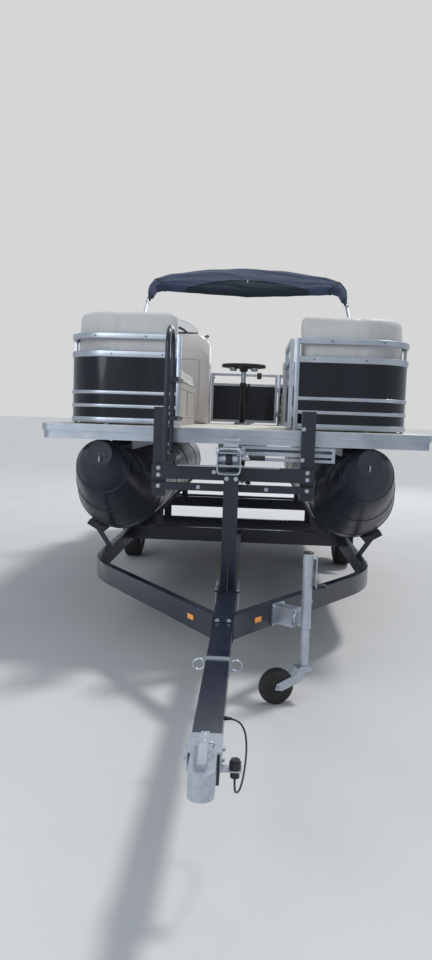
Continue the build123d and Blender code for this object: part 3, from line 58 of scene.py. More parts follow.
HALF_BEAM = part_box("deck_trim")[1].x
RAIL_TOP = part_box("fence_rails")[1].z


def at(x, y, z):
    """Place given across, aft of the deck's front edge, and up."""
    return Vector((x, BOW + y, z))


# Camera
EYE = at(0.113, -4.75, 1.56)
YAW, PITCH, ROLL = (math.radians(a) for a in (2.7, 4.98, 1.9))
LENS = 27.04


def add_camera():
    ahead = Vector((-math.sin(YAW) * math.cos(PITCH), math.cos(YAW) * math.cos(PITCH), -math.sin(PITCH)))
    right = ahead.cross(Vector((0, 0, 1))).normalized()
    up = right.cross(ahead)
    right, up = (math.cos(ROLL) * right + math.sin(ROLL) * up,
                 math.cos(ROLL) * up - math.sin(ROLL) * right)
    data = bpy.data.cameras.new("camera")
    data.lens, data.sensor_width, data.clip_end = LENS, 36.0, 200.0
    camera = bpy.data.objects.new("camera", data)
    camera.matrix_world = Matrix((right, up, -ahead)).transposed().to_4x4()
    camera.location = EYE
    bpy.context.collection.objects.link(camera)
    bpy.context.scene.camera = camera


add_camera()


# Finishes
def linear(*rgb):
    """Linear colour of an sRGB colour that is given from 0 to 255."""
    values = [c / 255 for c in rgb]
    return tuple(v / 12.92 if v <= 0.04045 else ((v + 0.055) / 1.055) ** 2.4 for v in values) + (1.0,)


class Finish:
    """Material that is built up in layers on object coordinates."""

    def __init__(self, name, colour, rough=0.5, metal=0.0, **sockets):
        self.material = bpy.data.materials.new(name)
        self.material.use_nodes = True
        self.tree = self.material.node_tree
        self.shader = self.tree.nodes["Principled BSDF"]
        self.colour = linear(*colour)
        self.shader.inputs["Base Color"].default_value = self.colour
        self.shader.inputs["Roughness"].default_value = rough
        self.shader.inputs["Metallic"].default_value = metal
        for socket, value in sockets.items():
            self.shader.inputs[socket.replace("_", " ")].default_value = value
        self.place = self.node("ShaderNodeTexCoord").outputs["Object"]
        self.height = None

    def node(self, kind, **values):
        made = self.tree.nodes.new(kind)
        for key, value in values.items():
            if key in made.inputs:
                made.inputs[key].default_value = value
            else:
                setattr(made, key, value)
        return made

    def link(self, source, target):
        self.tree.links.new(source, target)

    def stretched(self, scale):
        mapping = self.node("ShaderNodeMapping")
        mapping.inputs["Scale"].default_value = scale
        self.link(self.place, mapping.inputs["Vector"])
        return mapping.outputs["Vector"]

    def noise(self, scale, stretch=(1, 1, 1), detail=3.0, rough=0.5, low=0.3, high=0.7):
        """Cloudy field from 0 to 1, finer with a higher scale."""
        field = self.node("ShaderNodeTexNoise", Scale=scale, Detail=detail, Roughness=rough)
        self.link(self.stretched(stretch), field.inputs["Vector"])
        return self.ramp(field.outputs["Fac"], low, high)

    def wave(self, scale, axis="X", distortion=0.0, profile="SIN"):
        field = self.node("ShaderNodeTexWave", Scale=scale, Distortion=distortion,
                          bands_direction=axis, wave_profile=profile)
        self.link(self.place, field.inputs["Vector"])
        return field.outputs["Fac"]

    def cells(self, scale, stretch=(1, 1, 1), low=0.0, high=0.6):
        field = self.node("ShaderNodeTexVoronoi", Scale=scale)
        self.link(self.stretched(stretch), field.inputs["Vector"])
        return self.ramp(field.outputs["Distance"], low, high)

    def ramp(self, value, low, high, out_low=0.0, out_high=1.0):
        ramp = self.node("ShaderNodeMapRange")
        for key, number in (("From Min", low), ("From Max", high), ("To Min", out_low), ("To Max", out_high)):
            ramp.inputs[key].default_value = number
        self.link(value, ramp.inputs["Value"])
        return ramp.outputs["Result"]

    def times(self, a, b):
        product = self.node("ShaderNodeMath", operation="MULTIPLY")
        self.link(a, product.inputs[0])
        self.link(b, product.inputs[1])
        return product.outputs[0]

    def tint(self, field, colour):
        """Goes over to another colour where the field is high."""
        mix = self.node("ShaderNodeMix", data_type="RGBA")
        current = self.shader.inputs["Base Color"]
        if current.is_linked:
            self.link(current.links[0].from_socket, mix.inputs[6])
        else:
            mix.inputs[6].default_value = current.default_value
        mix.inputs[7].default_value = linear(*colour)
        self.link(field, mix.inputs[0])
        self.link(mix.outputs[2], current)
        return self

    def roughen(self, field, low, high):
        self.link(self.ramp(field, 0.0, 1.0, low, high), self.shader.inputs["Roughness"])
        return self

    def bump(self, field, depth, strength=1.0):
        """Relief of the given depth in metres."""
        bump = self.node("ShaderNodeBump", Strength=strength, Distance=depth)
        self.link(field, bump.inputs["Height"])
        if self.height is not None:
            self.link(self.height, bump.inputs["Normal"])
        self.height = bump.outputs["Normal"]
        self.link(self.height, self.shader.inputs["Normal"])
        return self


def make_finishes():
    made = {}

    def add(name, *args, **kwargs):
        made[name] = Finish(name, *args, **kwargs)
        return made[name]

    f = add("bare_aluminium", (188, 194, 203), 0.34, 0.85)
    grain = f.noise(160, (1, 0.04, 1), low=0.35, high=0.65)
    f.tint(f.noise(5, detail=4), (160, 168, 180)).roughen(grain, 0.28, 0.46).bump(grain, 0.00012, 0.35)

    f = add("deck_vinyl", (206, 203, 196), 0.62)
    weave = f.times(f.wave(95, "X"), f.wave(95, "Y"))
    f.tint(f.ramp(weave, 0.05, 0.6), (176, 172, 164)).tint(f.noise(2.5, low=0.45, high=0.8), (190, 184, 172))
    f.bump(weave, 0.0006, 0.6)

    f = add("tube_coating", (24, 30, 44), 0.34, 0.1, Coat_Weight=0.25, Coat_Roughness=0.25)
    f.tint(f.noise(2.2, (1, 0.4, 1), low=0.4, high=0.8), (34, 41, 56))
    f.tint(f.noise(26, (1, 0.08, 1), low=0.66, high=0.82), (52, 58, 70))
    f.roughen(f.noise(7), 0.3, 0.46).bump(f.noise(220, low=0.2, high=0.8), 0.00012, 0.2)

    f = add("panel_black", (9, 13, 24), 0.2, 0.0, Specular_IOR_Level=0.3, Coat_Weight=0.25,
            Coat_Roughness=0.05)
    # the lighter streaks that run up and down the gloss black are painted reflections
    f.tint(f.noise(9, (1, 1, 0.12), low=0.5, high=0.8), (22, 27, 40))
    f.roughen(f.noise(12, (1, 1, 0.2)), 0.14, 0.3).bump(f.noise(5, (1, 1, 0.1)), 0.002, 0.35)

    f = add("seat_vinyl", (190, 190, 190), 0.48, 0.0, Sheen_Weight=0.12, Sheen_Roughness=0.5)
    leather = f.cells(420, low=0.0, high=0.55)
    f.tint(f.noise(3, low=0.4, high=0.8), (178, 178, 180))
    f.tint(f.noise(40, low=0.6, high=0.85), (172, 171, 170))
    f.roughen(f.noise(25), 0.42, 0.56).bump(leather, 0.0004, 0.5).bump(f.noise(14), 0.0015, 0.2)

    f = add("seat_piping", (214, 214, 214), 0.45)
    f.tint(f.noise(60), (198, 198, 200)).bump(f.cells(500), 0.0003, 0.5)

    f = add("seat_base", (176, 172, 166), 0.55)
    f.tint(f.noise(4, low=0.4, high=0.75), (160, 157, 152))
    f.bump(f.cells(240, low=0.0, high=0.7), 0.0005, 0.5).roughen(f.noise(30), 0.5, 0.64)

    f = add("console_shell", (196, 190, 188), 0.3, 0.0, Coat_Weight=0.4, Coat_Roughness=0.15)
    f.tint(f.noise(4, low=0.4, high=0.8), (180, 174, 172)).roughen(f.noise(20), 0.26, 0.4)
    f.bump(f.noise(120), 0.0002, 0.3)

    f = add("clear_screen", (196, 204, 214), 0.06, 0.0, Transmission_Weight=0.9, IOR=1.12, Alpha=0.4)
    f.roughen(f.noise(30, low=0.4, high=0.8), 0.04, 0.12)

    f = add("black_plastic", (30, 31, 34), 0.42)
    f.tint(f.noise(10, low=0.5, high=0.8), (46, 47, 50)).bump(f.cells(600), 0.0002, 0.5)
    f.roughen(f.noise(40), 0.36, 0.52)

    f = add("table_metal", (176, 180, 186), 0.28, 0.9)
    f.roughen(f.noise(140, (1, 1, 0.03)), 0.2, 0.36).tint(f.noise(6), (156, 160, 168))

    f = add("top_canvas", (42, 53, 80), 0.86, 0.0, Sheen_Weight=0.3, Sheen_Roughness=0.4)
    weave = f.times(f.wave(340, "X"), f.wave(340, "Z"))
    f.tint(f.ramp(weave, 0.0, 0.7), (54, 67, 96)).tint(f.noise(5, low=0.45, high=0.8), (58, 70, 96))
    f.bump(weave, 0.0004, 0.5).bump(f.noise(16), 0.004, 0.4)

    f = add("top_canvas_inner", (24, 34, 46), 0.9)
    weave = f.times(f.wave(340, "X"), f.wave(340, "Z"))
    f.tint(f.ramp(weave, 0.0, 0.7), (34, 48, 62)).bump(weave, 0.0004, 0.5).bump(f.noise(18), 0.003, 0.4)

    f = add("motor_black", (20, 22, 26), 0.16, 0.0, Coat_Weight=0.8, Coat_Roughness=0.05)
    f.tint(f.noise(5, low=0.55, high=0.85), (34, 36, 42)).roughen(f.noise(26), 0.12, 0.24)
    f.bump(f.noise(90), 0.0001, 0.3)

    f = add("prop_metal", (52, 54, 58), 0.34, 0.6)
    f.tint(f.noise(30, low=0.6, high=0.8), (120, 122, 126)).roughen(f.noise(20), 0.28, 0.5)

    f = add("trailer_black", (19, 26, 42), 0.32, 0.0, Specular_IOR_Level=0.4, Coat_Weight=0.35,
            Coat_Roughness=0.2)
    f.tint(f.noise(2.5, low=0.4, high=0.85), (29, 37, 54))
    f.tint(f.noise(70, low=0.72, high=0.84), (60, 62, 68))
    f.roughen(f.noise(14), 0.24, 0.36).bump(f.noise(260), 0.00015, 0.3)

    f = add("zinc", (190, 196, 205), 0.36, 0.8)
    spangle = f.cells(55, low=0.05, high=0.75)
    f.tint(spangle, (176, 183, 194)).tint(f.noise(9, low=0.5, high=0.85), (164, 170, 180))
    f.roughen(spangle, 0.33, 0.42).bump(f.noise(160), 0.00008, 0.3)

    f = add("bunk_carpet", (34, 36, 42), 0.95, 0.0, Sheen_Weight=0.4)
    pile = f.noise(900, detail=1.0, low=0.3, high=0.7)
    f.tint(pile, (58, 60, 66)).tint(f.noise(6, low=0.5, high=0.8), (70, 66, 60)).bump(pile, 0.002, 0.8)

    f = add("pad_rubber", (30, 30, 32), 0.75)
    f.tint(f.noise(14, low=0.5, high=0.8), (56, 55, 54)).bump(f.noise(240), 0.0004, 0.5)

    f = add("tyre_rubber", (34, 34, 36), 0.78)
    f.tint(f.noise(9, low=0.45, high=0.8), (66, 62, 58)).bump(f.noise(200), 0.0005, 0.5)

    f = add("wheel_metal", (214, 216, 218), 0.28, 0.1, Coat_Weight=0.5, Coat_Roughness=0.1)
    f.tint(f.noise(12, low=0.55, high=0.8), (186, 184, 178)).roughen(f.noise(30), 0.22, 0.4)

    f = add("lamp_red", (170, 16, 18), 0.12, 0.0, Coat_Weight=0.6, Coat_Roughness=0.05)
    ribs = f.wave(60, "Z")
    f.tint(f.ramp(ribs, 0.2, 0.9), (210, 40, 36)).bump(ribs, 0.001, 0.7)

    f = add("lamp_amber", (226, 122, 24), 0.14, 0.0, Coat_Weight=0.6, Coat_Roughness=0.05)
    f.tint(f.cells(260), (246, 160, 60)).bump(f.cells(260), 0.0006, 0.7)

    f = add("lamp_clear", (222, 226, 230), 0.08, 0.0, Coat_Weight=0.6)
    f.tint(f.cells(200), (196, 202, 210)).bump(f.cells(200), 0.0005, 0.6)

    f = add("gauge_white", (232, 232, 228), 0.3)
    f.tint(f.noise(40, low=0.6, high=0.8), (214, 214, 208))

    f = add("strap_webbing", (38, 40, 46), 0.85)
    web = f.wave(600, "DIAGONAL")
    f.tint(f.ramp(web, 0.2, 0.9), (64, 66, 74)).bump(web, 0.0004, 0.6)

    f = add("cord_jacket", (26, 26, 28), 0.5)
    f.tint(f.noise(50, low=0.5, high=0.8), (60, 58, 56)).bump(f.noise(400), 0.0002, 0.4)
    return {name: finish.material for name, finish in made.items()}


FINISH = make_finishes()
for node in frame["record"]["subparts"]:
    for slot in nodes[node["node"]].material_slots:
        slot.material = FINISH[node["material_slot"]]


# Shaping tools
def turns(count):
    """Angles of one full turn, in equal steps."""
    return [2 * math.pi * k / count for k in range(count)]


def bowed(value, power):
    """Power of a value that keeps its sign: squares off a circle's sine and cosine."""
    return math.copysign(abs(value) ** power, value)


def piece(name, verts, faces, finish, body="root", smooth=True, outward=True):
    """Mesh piece in the frame's own numbers, with one finish, riding on a body."""
    mesh = bpy.data.meshes.new(name)
    mesh.from_pydata([tuple(v) for v in verts], [], faces)
    built = bmesh.new()
    built.from_mesh(mesh)
    bmesh.ops.remove_doubles(built, verts=built.verts, dist=1e-5)
    if outward:
        bmesh.ops.recalc_face_normals(built, faces=built.faces)
    built.to_mesh(mesh)
    built.free()
    return dress(name, mesh, finish, body, smooth)


def dress(name, mesh, finish, body="root", smooth=True):
    made = bpy.data.objects.new(name, mesh)
    bpy.context.collection.objects.link(made)
    mesh.materials.clear()
    mesh.materials.append(FINISH[finish])
    if smooth:
        mesh.shade_smooth()
    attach(made, body)
    return made


def plain(made):
    """Applies what modifiers a piece has, and leaves a plain mesh."""
    mesh = bpy.data.meshes.new_from_object(made.evaluated_get(bpy.context.evaluated_depsgraph_get()))
    made.modifiers.clear()
    finish = made.data.materials[0]
    made.data = mesh
    if not mesh.materials:
        mesh.materials.append(finish)
    return made


def softened(made, width, segments=2, angle=35):
    """Rounds a piece's hard edges and shades it."""
    bevel = made.modifiers.new("edges", "BEVEL")
    bevel.width, bevel.segments, bevel.limit_method = width, segments, "ANGLE"
    bevel.angle_limit = math.radians(angle)
    plain(made)
    shade_by_angle(made, 40)
    return made


def shade_by_angle(made, degrees):
    mesh = made.data
    mesh.shade_smooth()
    built = bmesh.new()
    built.from_mesh(mesh)
    for edge in built.edges:
        if len(edge.link_faces) == 2 and edge.calc_face_angle(0) > math.radians(degrees):
            edge.smooth = False
    built.to_mesh(mesh)
    built.free()


def skin(rings, closed=True, capped=True):
    """Faces over rows of points, each row a loop of the same length."""
    verts = [Vector(p) for ring in rings for p in ring]
    n = len(rings[0])
    faces = []
    for i in range(len(rings) - 1):
        for j in range(n if closed else n - 1):
            k = (j + 1) % n
            faces.append((i * n + j, i * n + k, (i + 1) * n + k, (i + 1) * n + j))
    if capped:
        for i in (0, len(rings) - 1):
            middle = len(verts)
            verts.append(sum((Vector(p) for p in rings[i]), Vector()) / n)
            for j in range(n):
                faces.append((i * n + j, i * n + (j + 1) % n, middle))
    return verts, faces


def add_up(*shapes):
    """Several (verts, faces) as one."""
    verts, faces = [], []
    for more, sides in shapes:
        base = len(verts)
        verts.extend(more)
        faces.extend(tuple(i + base for i in side) for side in sides)
    return verts, faces


def pipe(points, radius, sides=10, closed=False, capped=True, flat=1.0):
    """Round bar along a line of points; `flat` thins it along its second axis."""
    points = [Vector(p) for p in points]
    n = len(points)
    rings, side = [], None
    for i, p in enumerate(points):
        before = points[i - 1] if i or closed else points[0]
        after = points[(i + 1) % n] if i < n - 1 or closed else points[-1]
        ahead = (after - before).normalized()
        if side is None:
            side = ahead.orthogonal() if abs(ahead.z) > 0.9 else ahead.cross(Vector((0, 0, 1)))
            side = side.normalized()
        side = (side - ahead * side.dot(ahead)).normalized()
        other = ahead.cross(side)
        r = radius[i] if isinstance(radius, (list, tuple)) else radius
        rings.append([p + side * math.cos(a) * r + other * math.sin(a) * r * flat
                      for a in turns(sides)])
    if closed:
        rings.append(rings[0])
    return skin(rings, True, capped and not closed)


def turned(profile, centre, axis, steps=32):
    """Shape turned about an axis from (distance along it, radius) pairs."""
    axis = Vector(axis).normalized()
    side = axis.orthogonal().normalized()
    other = axis.cross(side)
    rings = [[Vector(centre) + axis * along + (side * math.cos(a) + other * math.sin(a)) * max(radius, 1e-4)
              for a in turns(steps)] for along, radius in profile]
    return skin(rings)


def slab(outline, lower, upper):
    """Solid between two offsets of the same outline of points."""
    low = [Vector(p) + Vector(lower) for p in outline]
    high = [Vector(p) + Vector(upper) for p in outline]
    n = len(outline)
    faces = [tuple(range(n)), tuple(range(n, 2 * n))]
    faces += [(i, (i + 1) % n, n + (i + 1) % n, n + i) for i in range(n)]
    return low + high, faces


def brick(lo, hi):
    """Six-sided block between two corners, for shapes that are then softened."""
    (ax, ay, az), (bx, by, bz) = lo, hi
    outline = [(ax, ay, az), (bx, ay, az), (bx, by, az), (ax, by, az)]
    return slab(outline, (0, 0, 0), (0, 0, bz - az))


def smooth_line(points, steps=6, closed=False):
    """Curve through points, with the given number of steps in each span."""
    points = [Vector(p) for p in points]
    n = len(points)
    line = []
    for i in range(n if closed else n - 1):
        a, b = points[i], points[(i + 1) % n]
        before = points[i - 1] if i or closed else a * 2 - b
        after = points[(i + 2) % n] if i + 2 < n or closed else b * 2 - a
        for k in range(steps):
            t = k / steps
            line.append(0.5 * ((2 * a) + (b - before) * t + (2 * before - 5 * a + 4 * b - after) * t * t
                               + (3 * a - before - 3 * b + after) * t ** 3))
    if not closed:
        line.append(points[-1])
    return line


def surface_of(made):
    """Search tree over a piece's faces."""
    return BVHTree.FromPolygons([v.co for v in made.data.vertices],
                                [tuple(p.vertices) for p in made.data.polygons])


def onto(surface, point, lift):
    """Nearest place on a surface, lifted off it."""
    place, normal, _, _ = surface.find_nearest(point)
    return place + normal * lift


def mirrored(shape):
    verts, faces = shape
    return [Vector((-v.x, v.y, v.z)) for v in verts], [tuple(reversed(f)) for f in faces]


# Repeats: small fittings set on points by Geometry Nodes
class Tree:
    """Geometry Nodes tree with named inputs."""

    def __init__(self, name, **sizes):
        self.group = bpy.data.node_groups.new(name, "GeometryNodeTree")
        face = self.group.interface
        face.new_socket("Places", in_out="INPUT", socket_type="NodeSocketGeometry")
        self.identifiers = {}
        for key, value in sizes.items():
            kind = "NodeSocketInt" if isinstance(value, int) else "NodeSocketFloat"
            made = face.new_socket(key, in_out="INPUT", socket_type=kind)
            made.default_value = value
            self.identifiers[key] = made.identifier
        stuff = face.new_socket("Finish", in_out="INPUT", socket_type="NodeSocketMaterial")
        self.identifiers["Finish"] = stuff.identifier
        face.new_socket("Fittings", in_out="OUTPUT", socket_type="NodeSocketGeometry")
        self.inputs = self.group.nodes.new("NodeGroupInput")
        self.outputs = self.group.nodes.new("NodeGroupOutput")

    def node(self, kind, links=(), **values):
        made = self.group.nodes.new(kind)
        for key, value in values.items():
            if key in made.inputs:
                made.inputs[key].default_value = value
            else:
                setattr(made, key, value)
        for source, socket in links:
            self.group.links.new(source, made.inputs[socket])
        return made

    def finish(self, fitting, **facing):
        """Sets a fitting on every place, turned to face its aim, and gives it its finish."""
        aim = self.node("GeometryNodeInputNamedAttribute", data_type="FLOAT_VECTOR", Name="aim")
        turn = self.node("FunctionNodeAlignRotationToVector", [(aim.outputs["Attribute"], "Vector")],
                         axis="Z", **facing)
        spread = self.node("GeometryNodeInstanceOnPoints",
                           [(self.inputs.outputs["Places"], "Points"), (fitting, "Instance"),
                            (turn.outputs[0], "Rotation")])
        real = self.node("GeometryNodeRealizeInstances", [(spread.outputs[0], 0)])
        painted = self.node("GeometryNodeSetMaterial",
                            [(real.outputs[0], 0), (self.inputs.outputs["Finish"], "Material")])
        self.group.links.new(painted.outputs[0], self.outputs.inputs[0])
        return self

    def grow(self, name, places, aims, finish, body="root", smooth=True, **sizes):
        """Runs the tree on points that carry the direction each fitting faces."""
        mesh = bpy.data.meshes.new(name)
        mesh.from_pydata([tuple(p) for p in places], [], [])
        aim = mesh.attributes.new("aim", "FLOAT_VECTOR", "POINT")
        for slot, direction in zip(aim.data, aims):
            slot.vector = direction
        carrier = bpy.data.objects.new(name, mesh)
        bpy.context.collection.objects.link(carrier)
        modifier = carrier.modifiers.new("fittings", "NODES")
        modifier.node_group = self.group
        for key, value in sizes.items():
            modifier[self.identifiers[key]] = value
        modifier[self.identifiers["Finish"]] = FINISH[finish]
        graph = bpy.context.evaluated_depsgraph_get()
        grown = bpy.data.meshes.new_from_object(carrier.evaluated_get(graph))
        bpy.data.objects.remove(carrier)
        made = dress(name, grown, finish, body, smooth)
        shade_by_angle(made, 40)
        return made


def bolt_tree():
    """Hexagonal head on a washer, with a rounded stud end."""
    tree = Tree("hex_bolts", Head=0.009, Height=0.006, Washer=0.012)
    given = tree.inputs.outputs
    head = tree.node("GeometryNodeMeshCylinder", [(given["Head"], "Radius"), (given["Height"], "Depth")],
                     Vertices=6)
    washer = tree.node("GeometryNodeMeshCylinder", [(given["Washer"], "Radius")], Vertices=16, Depth=0.0016)
    stud = tree.node("GeometryNodeMeshUVSphere", [(given["Head"], "Radius")], Segments=10, Rings=6)
    part_way = tree.node("ShaderNodeMath", [(given["Height"], 0)], operation="MULTIPLY")
    part_way.inputs[1].default_value = 0.62
    lift = tree.node("ShaderNodeCombineXYZ", [(part_way.outputs[0], "Z")])
    raised = tree.node("GeometryNodeTransform", [(head.outputs["Mesh"], 0), (lift.outputs[0], "Translation")])
    capped = tree.node("GeometryNodeTransform", [(stud.outputs["Mesh"], 0), (lift.outputs[0], "Translation")],
                       Scale=(0.6, 0.6, 0.62))
    shape = tree.node("GeometryNodeJoinGeometry")
    for part in (washer.outputs["Mesh"], raised.outputs[0], capped.outputs[0]):
        tree.group.links.new(part, shape.inputs[0])
    return tree.finish(shape.outputs[0])


def screw_tree():
    """Low domed screw or rivet head."""
    tree = Tree("domed_screws", Head=0.007, Rise=0.45)
    given = tree.inputs.outputs
    dome = tree.node("GeometryNodeMeshUVSphere", [(given["Head"], "Radius")], Segments=12, Rings=7)
    lower = tree.node("ShaderNodeCombineXYZ", [(given["Rise"], "Z")], X=1.0, Y=1.0)
    flat = tree.node("GeometryNodeTransform", [(dome.outputs["Mesh"], 0), (lower.outputs[0], "Scale")])
    return tree.finish(flat.outputs[0])


# slots of the finishes that stand in for one of the part's own
BOLTS = bolt_tree()
SCREWS = screw_tree()


def add_wire():
    route = ((0.0583, -2.200, 0.465), (0.100, -2.200, 0.465), (0.130, -2.212, 0.430), (0.138, -2.238, 0.377),
             (0.134, -2.290, 0.335), (0.126, -2.365, 0.316), (0.117, -2.440, 0.322), (0.106, -2.508, 0.349),
             (0.100, -2.556, 0.386), (0.100, -2.556, 0.4277))
    curve = bpy.data.curves.new("wiring_cord_line", "CURVE")
    curve.dimensions = "3D"
    curve.bevel_depth, curve.bevel_resolution, curve.resolution_u = 0.0035, 4, 12
    curve.use_fill_caps = True
    line = curve.splines.new("NURBS")
    line.points.add(len(route) - 1)
    for point, place in zip(line.points, route):
        point.co = (*at(*place), 1)
    line.order_u = 3
    line.use_endpoint_u = True
    curve.materials.append(FINISH["cord_jacket"])
    cord = bpy.data.objects.new("lamp_wire", curve)
    bpy.context.collection.objects.link(cord)
    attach(cord, "root")
    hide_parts("wiring_cord")
    relief = turned([(0, 0.0078), (0.002, 0.0075), (0.012, 0.0056), (0.022, 0.0046), (0.0235, 0.0036)],
                    at(0.0575, -2.2, 0.465), (1, 0, 0), 16)
    piece("wire_relief", *relief, "pad_rubber")


add_wire()


# Tubes: one smooth skin from the raked nose to the domed stern cap
NOSE = ((0.045, 0.082, 1.292), (0.150, 0.180, 1.200), (0.400, 0.240, 1.095), (0.680, 0.295, 1.004),
        (0.880, 0.3175, 0.9775))
TUBE_X = 0.9
TUBE_RADIUS, TUBE_Z = NOSE[-1][1:]
TUBE_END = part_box("pontoons")[1].y - BOW


def add_tubes():
    rows = [(v.x, v.y, v.z) for v in smooth_line(NOSE, 7)]
    tip_y, tip_r, tip_z = rows[0]
    rows = [(tip_y + 0.001, tip_r * f, tip_z + (1 - f) * 0.01) for f in (0.25, 0.6, 0.85)] + rows
    rows += [(y, TUBE_RADIUS, TUBE_Z) for y in np.arange(1.4, TUBE_END - 0.10, 0.6)]
    for t in (0.0, 0.25, 0.5, 0.72, 0.88, 0.97, 1.0):
        rows.append((TUBE_END - 0.060 + 0.060 * math.sin(t * math.pi / 2),
                     TUBE_RADIUS * (0.78 + 0.22 * math.cos(t * math.pi / 2)), TUBE_Z))
    rings = []
    for y, r, z in rows:
        rings.append([at(TUBE_X + r * math.cos(a), y, z + r * math.sin(a))
                      for a in turns(96)])
    port = skin(rings)
    made = piece("tubes", *add_up(port, mirrored(port)), "tube_coating")
    shade_by_angle(made, 34)
    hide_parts("pontoons")

    seams = []
    for y in (0.885, 2.06, 3.25, 4.42, TUBE_END - 0.064):
        ring = [at(TUBE_X + (TUBE_RADIUS + 0.0008) * math.cos(a), y,
                   TUBE_Z + (TUBE_RADIUS + 0.0008) * math.sin(a))
                for a in turns(96)]
        seams.append(pipe(ring, 0.0045, 6, closed=True))
    nose_seams = []
    for y, r, z in (rows[10], rows[17], rows[24]):
        ring = [at(TUBE_X + (r + 0.0006) * math.cos(a), y, z + (r + 0.0006) * math.sin(a))
                for a in turns(96)]
        nose_seams.append(pipe(ring, 0.0038, 6, closed=True))
    port = add_up(*seams, *nose_seams)
    piece("tube_seams", *add_up(port, mirrored(port)), "tube_coating")

    # wear strake under each tube, and the rub rails on its flanks
    strakes = []
    for degrees, out, half in ((270, 0.010, 0.022), (322, 0.012, 0.012), (218, 0.012, 0.012)):
        a = math.radians(degrees)
        normal = Vector((math.cos(a), 0, math.sin(a)))
        across = Vector((-math.sin(a), 0, math.cos(a)))
        strake = []
        for y in (0.93, 1.0, 2.2, 3.4, 4.6, TUBE_END - 0.12, TUBE_END - 0.07):
            rise = out if 0.95 < y < TUBE_END - 0.1 else 0.001
            middle = at(TUBE_X, y, TUBE_Z) + normal * (TUBE_RADIUS - 0.002)
            strake.append([middle - across * half, middle - across * half * 0.5 + normal * rise,
                          middle + across * half * 0.5 + normal * rise, middle + across * half])
        strakes.append(skin(strake))
    port = add_up(*strakes)
    piece("tube_strakes", *add_up(port, mirrored(port)), "tube_coating", smooth=False)

    # bow eyes and their pads on the nose tips
    centre = at(TUBE_X, 0.058, 1.255)
    ring = [centre + Vector((0, -0.012 - 0.022 * math.cos(a), 0.022 * math.sin(a))) for a in turns(20)]
    pad = turned([(0, 0.0), (0.0, 0.026), (0.004, 0.026), (0.006, 0.02), (0.006, 0.0)],
                 centre + Vector((0, 0.004, 0)), (0, -1, 0.35), 20)
    port = add_up(pipe(ring, 0.0055, 8, closed=True), pad)
    piece("bow_eyes", *add_up(port, mirrored(port)), "zinc")


add_tubes()


# Upholstery: closed starting shapes that the simulation fills out, then seams and piping on the result
PADS = []
SEAT_LOW, SEAT_HIGH, BACK_HIGH = 0.3303, 0.450, 0.825
SEAT_EDGE = 1.054                # outer edge of the seats, across
BACK_X, BACK_TURN = 1.120, 0.24  # middle line of the backs along the fence, and its corner radius
BACK_IN = 0.06                   # the same line from a lounge's front or rear edge
BACK_ROOM = 0.123                # length that a back takes from the seats


def rounded_plan(corners, radii, step=0.03):
    """Closed plan line with rounded corners, as (x, y) points."""
    line = []
    n = len(corners)
    for i in range(n):
        a, b, c = (Vector(corners[j % n]) for j in (i - 1, i, i + 1))
        r = radii[i] if isinstance(radii, (list, tuple)) else radii
        start, end = b + (a - b).normalized() * r, b + (c - b).normalized() * r
        count = max(3, int(r / 0.012))
        for k in range(count + 1):
            t = k / count
            line.append((1 - t) ** 2 * start + 2 * t * (1 - t) * b + t * t * end)
        nxt = Vector(corners[(i + 1) % n])
        r_next = radii[(i + 1) % n] if isinstance(radii, (list, tuple)) else radii
        stop = nxt + (b - nxt).normalized() * r_next
        run = (stop - end).length
        for k in range(1, max(1, int(run / step))):
            line.append(end.lerp(stop, k / max(1, int(run / step))))
    return line


def inset(line, distance):
    n = len(line)
    moved = []
    for i in range(n):
        ahead = (line[(i + 1) % n] - line[i - 1]).normalized()
        moved.append(line[i] + Vector((-ahead.y, ahead.x)) * distance)
    return moved


def cushion_shape(line, low, high, crown=0.012, edge=0.026):
    """Closed form over a plan line that runs anticlockwise: crowned top, soft edges."""
    rings = []
    for pull, z in ((0.022, low), (0.008, low + 0.008), (0.003, low + 0.022), (0.003, high - edge),
                    (0.009, high - edge * 0.42), (0.022, high - edge * 0.1),
                    (0.07, high + crown * 0.5), (0.14, high + crown)):
        rings.append([at(p.x, p.y, z) for p in inset(line, pull)])
    return skin(rings)


def back_line(inner, front, rear, corner_at_front, step=0.035):
    """Middle line of a corner lounge's back on the port side, from its inner end to its far end."""
    r = BACK_TURN
    near, far = (front + BACK_IN, rear) if corner_at_front else (rear - BACK_IN, front)
    a, b, c = Vector((inner, near)), Vector((BACK_X, near)), Vector((BACK_X, far))
    start, end = b + (a - b).normalized() * r, b + (c - b).normalized() * r
    run = (start - a).length
    line = [a.lerp(start, k / int(run / step)) for k in range(int(run / step))]
    centre = start + (c - b).normalized() * r
    for k in range(13):
        angle = k / 12 * math.pi / 2
        line.append(centre - (c - b).normalized() * r * math.cos(angle)
                    + (b - a).normalized() * r * math.sin(angle))
    run = (c - end).length
    line += [end.lerp(c, k / int(run / step)) for k in range(1, int(run / step) + 1)]
    first, last = (line[1] - line[0]).normalized(), (line[-2] - line[-1]).normalized()
    close = (0.004, 0.012, 0.022)
    return [line[0], *(line[0] + first * d for d in close), *line[1:-1],
            *(line[-1] + last * d for d in reversed(close)), line[-1]]


def end_drop(distance, radius=0.055):
    """How far a back's top edge falls this close to its end."""
    if distance >= radius:
        return 0.0
    return radius * (1 - math.sqrt(max(0.0, 1 - (1 - distance / radius) ** 2))) * 0.9


def distances(line):
    """Distance of each point of a line from its start."""
    length = [0.0]
    for a, b in zip(line, line[1:]):
        length.append(length[-1] + (b - a).length)
    return length


def seatward(line, i, side_sign):
    """Direction from a point of a back's line towards its seat."""
    ahead = (line[min(i + 1, len(line) - 1)] - line[max(i - 1, 0)]).normalized()
    return Vector((-ahead.y, ahead.x)) * side_sign


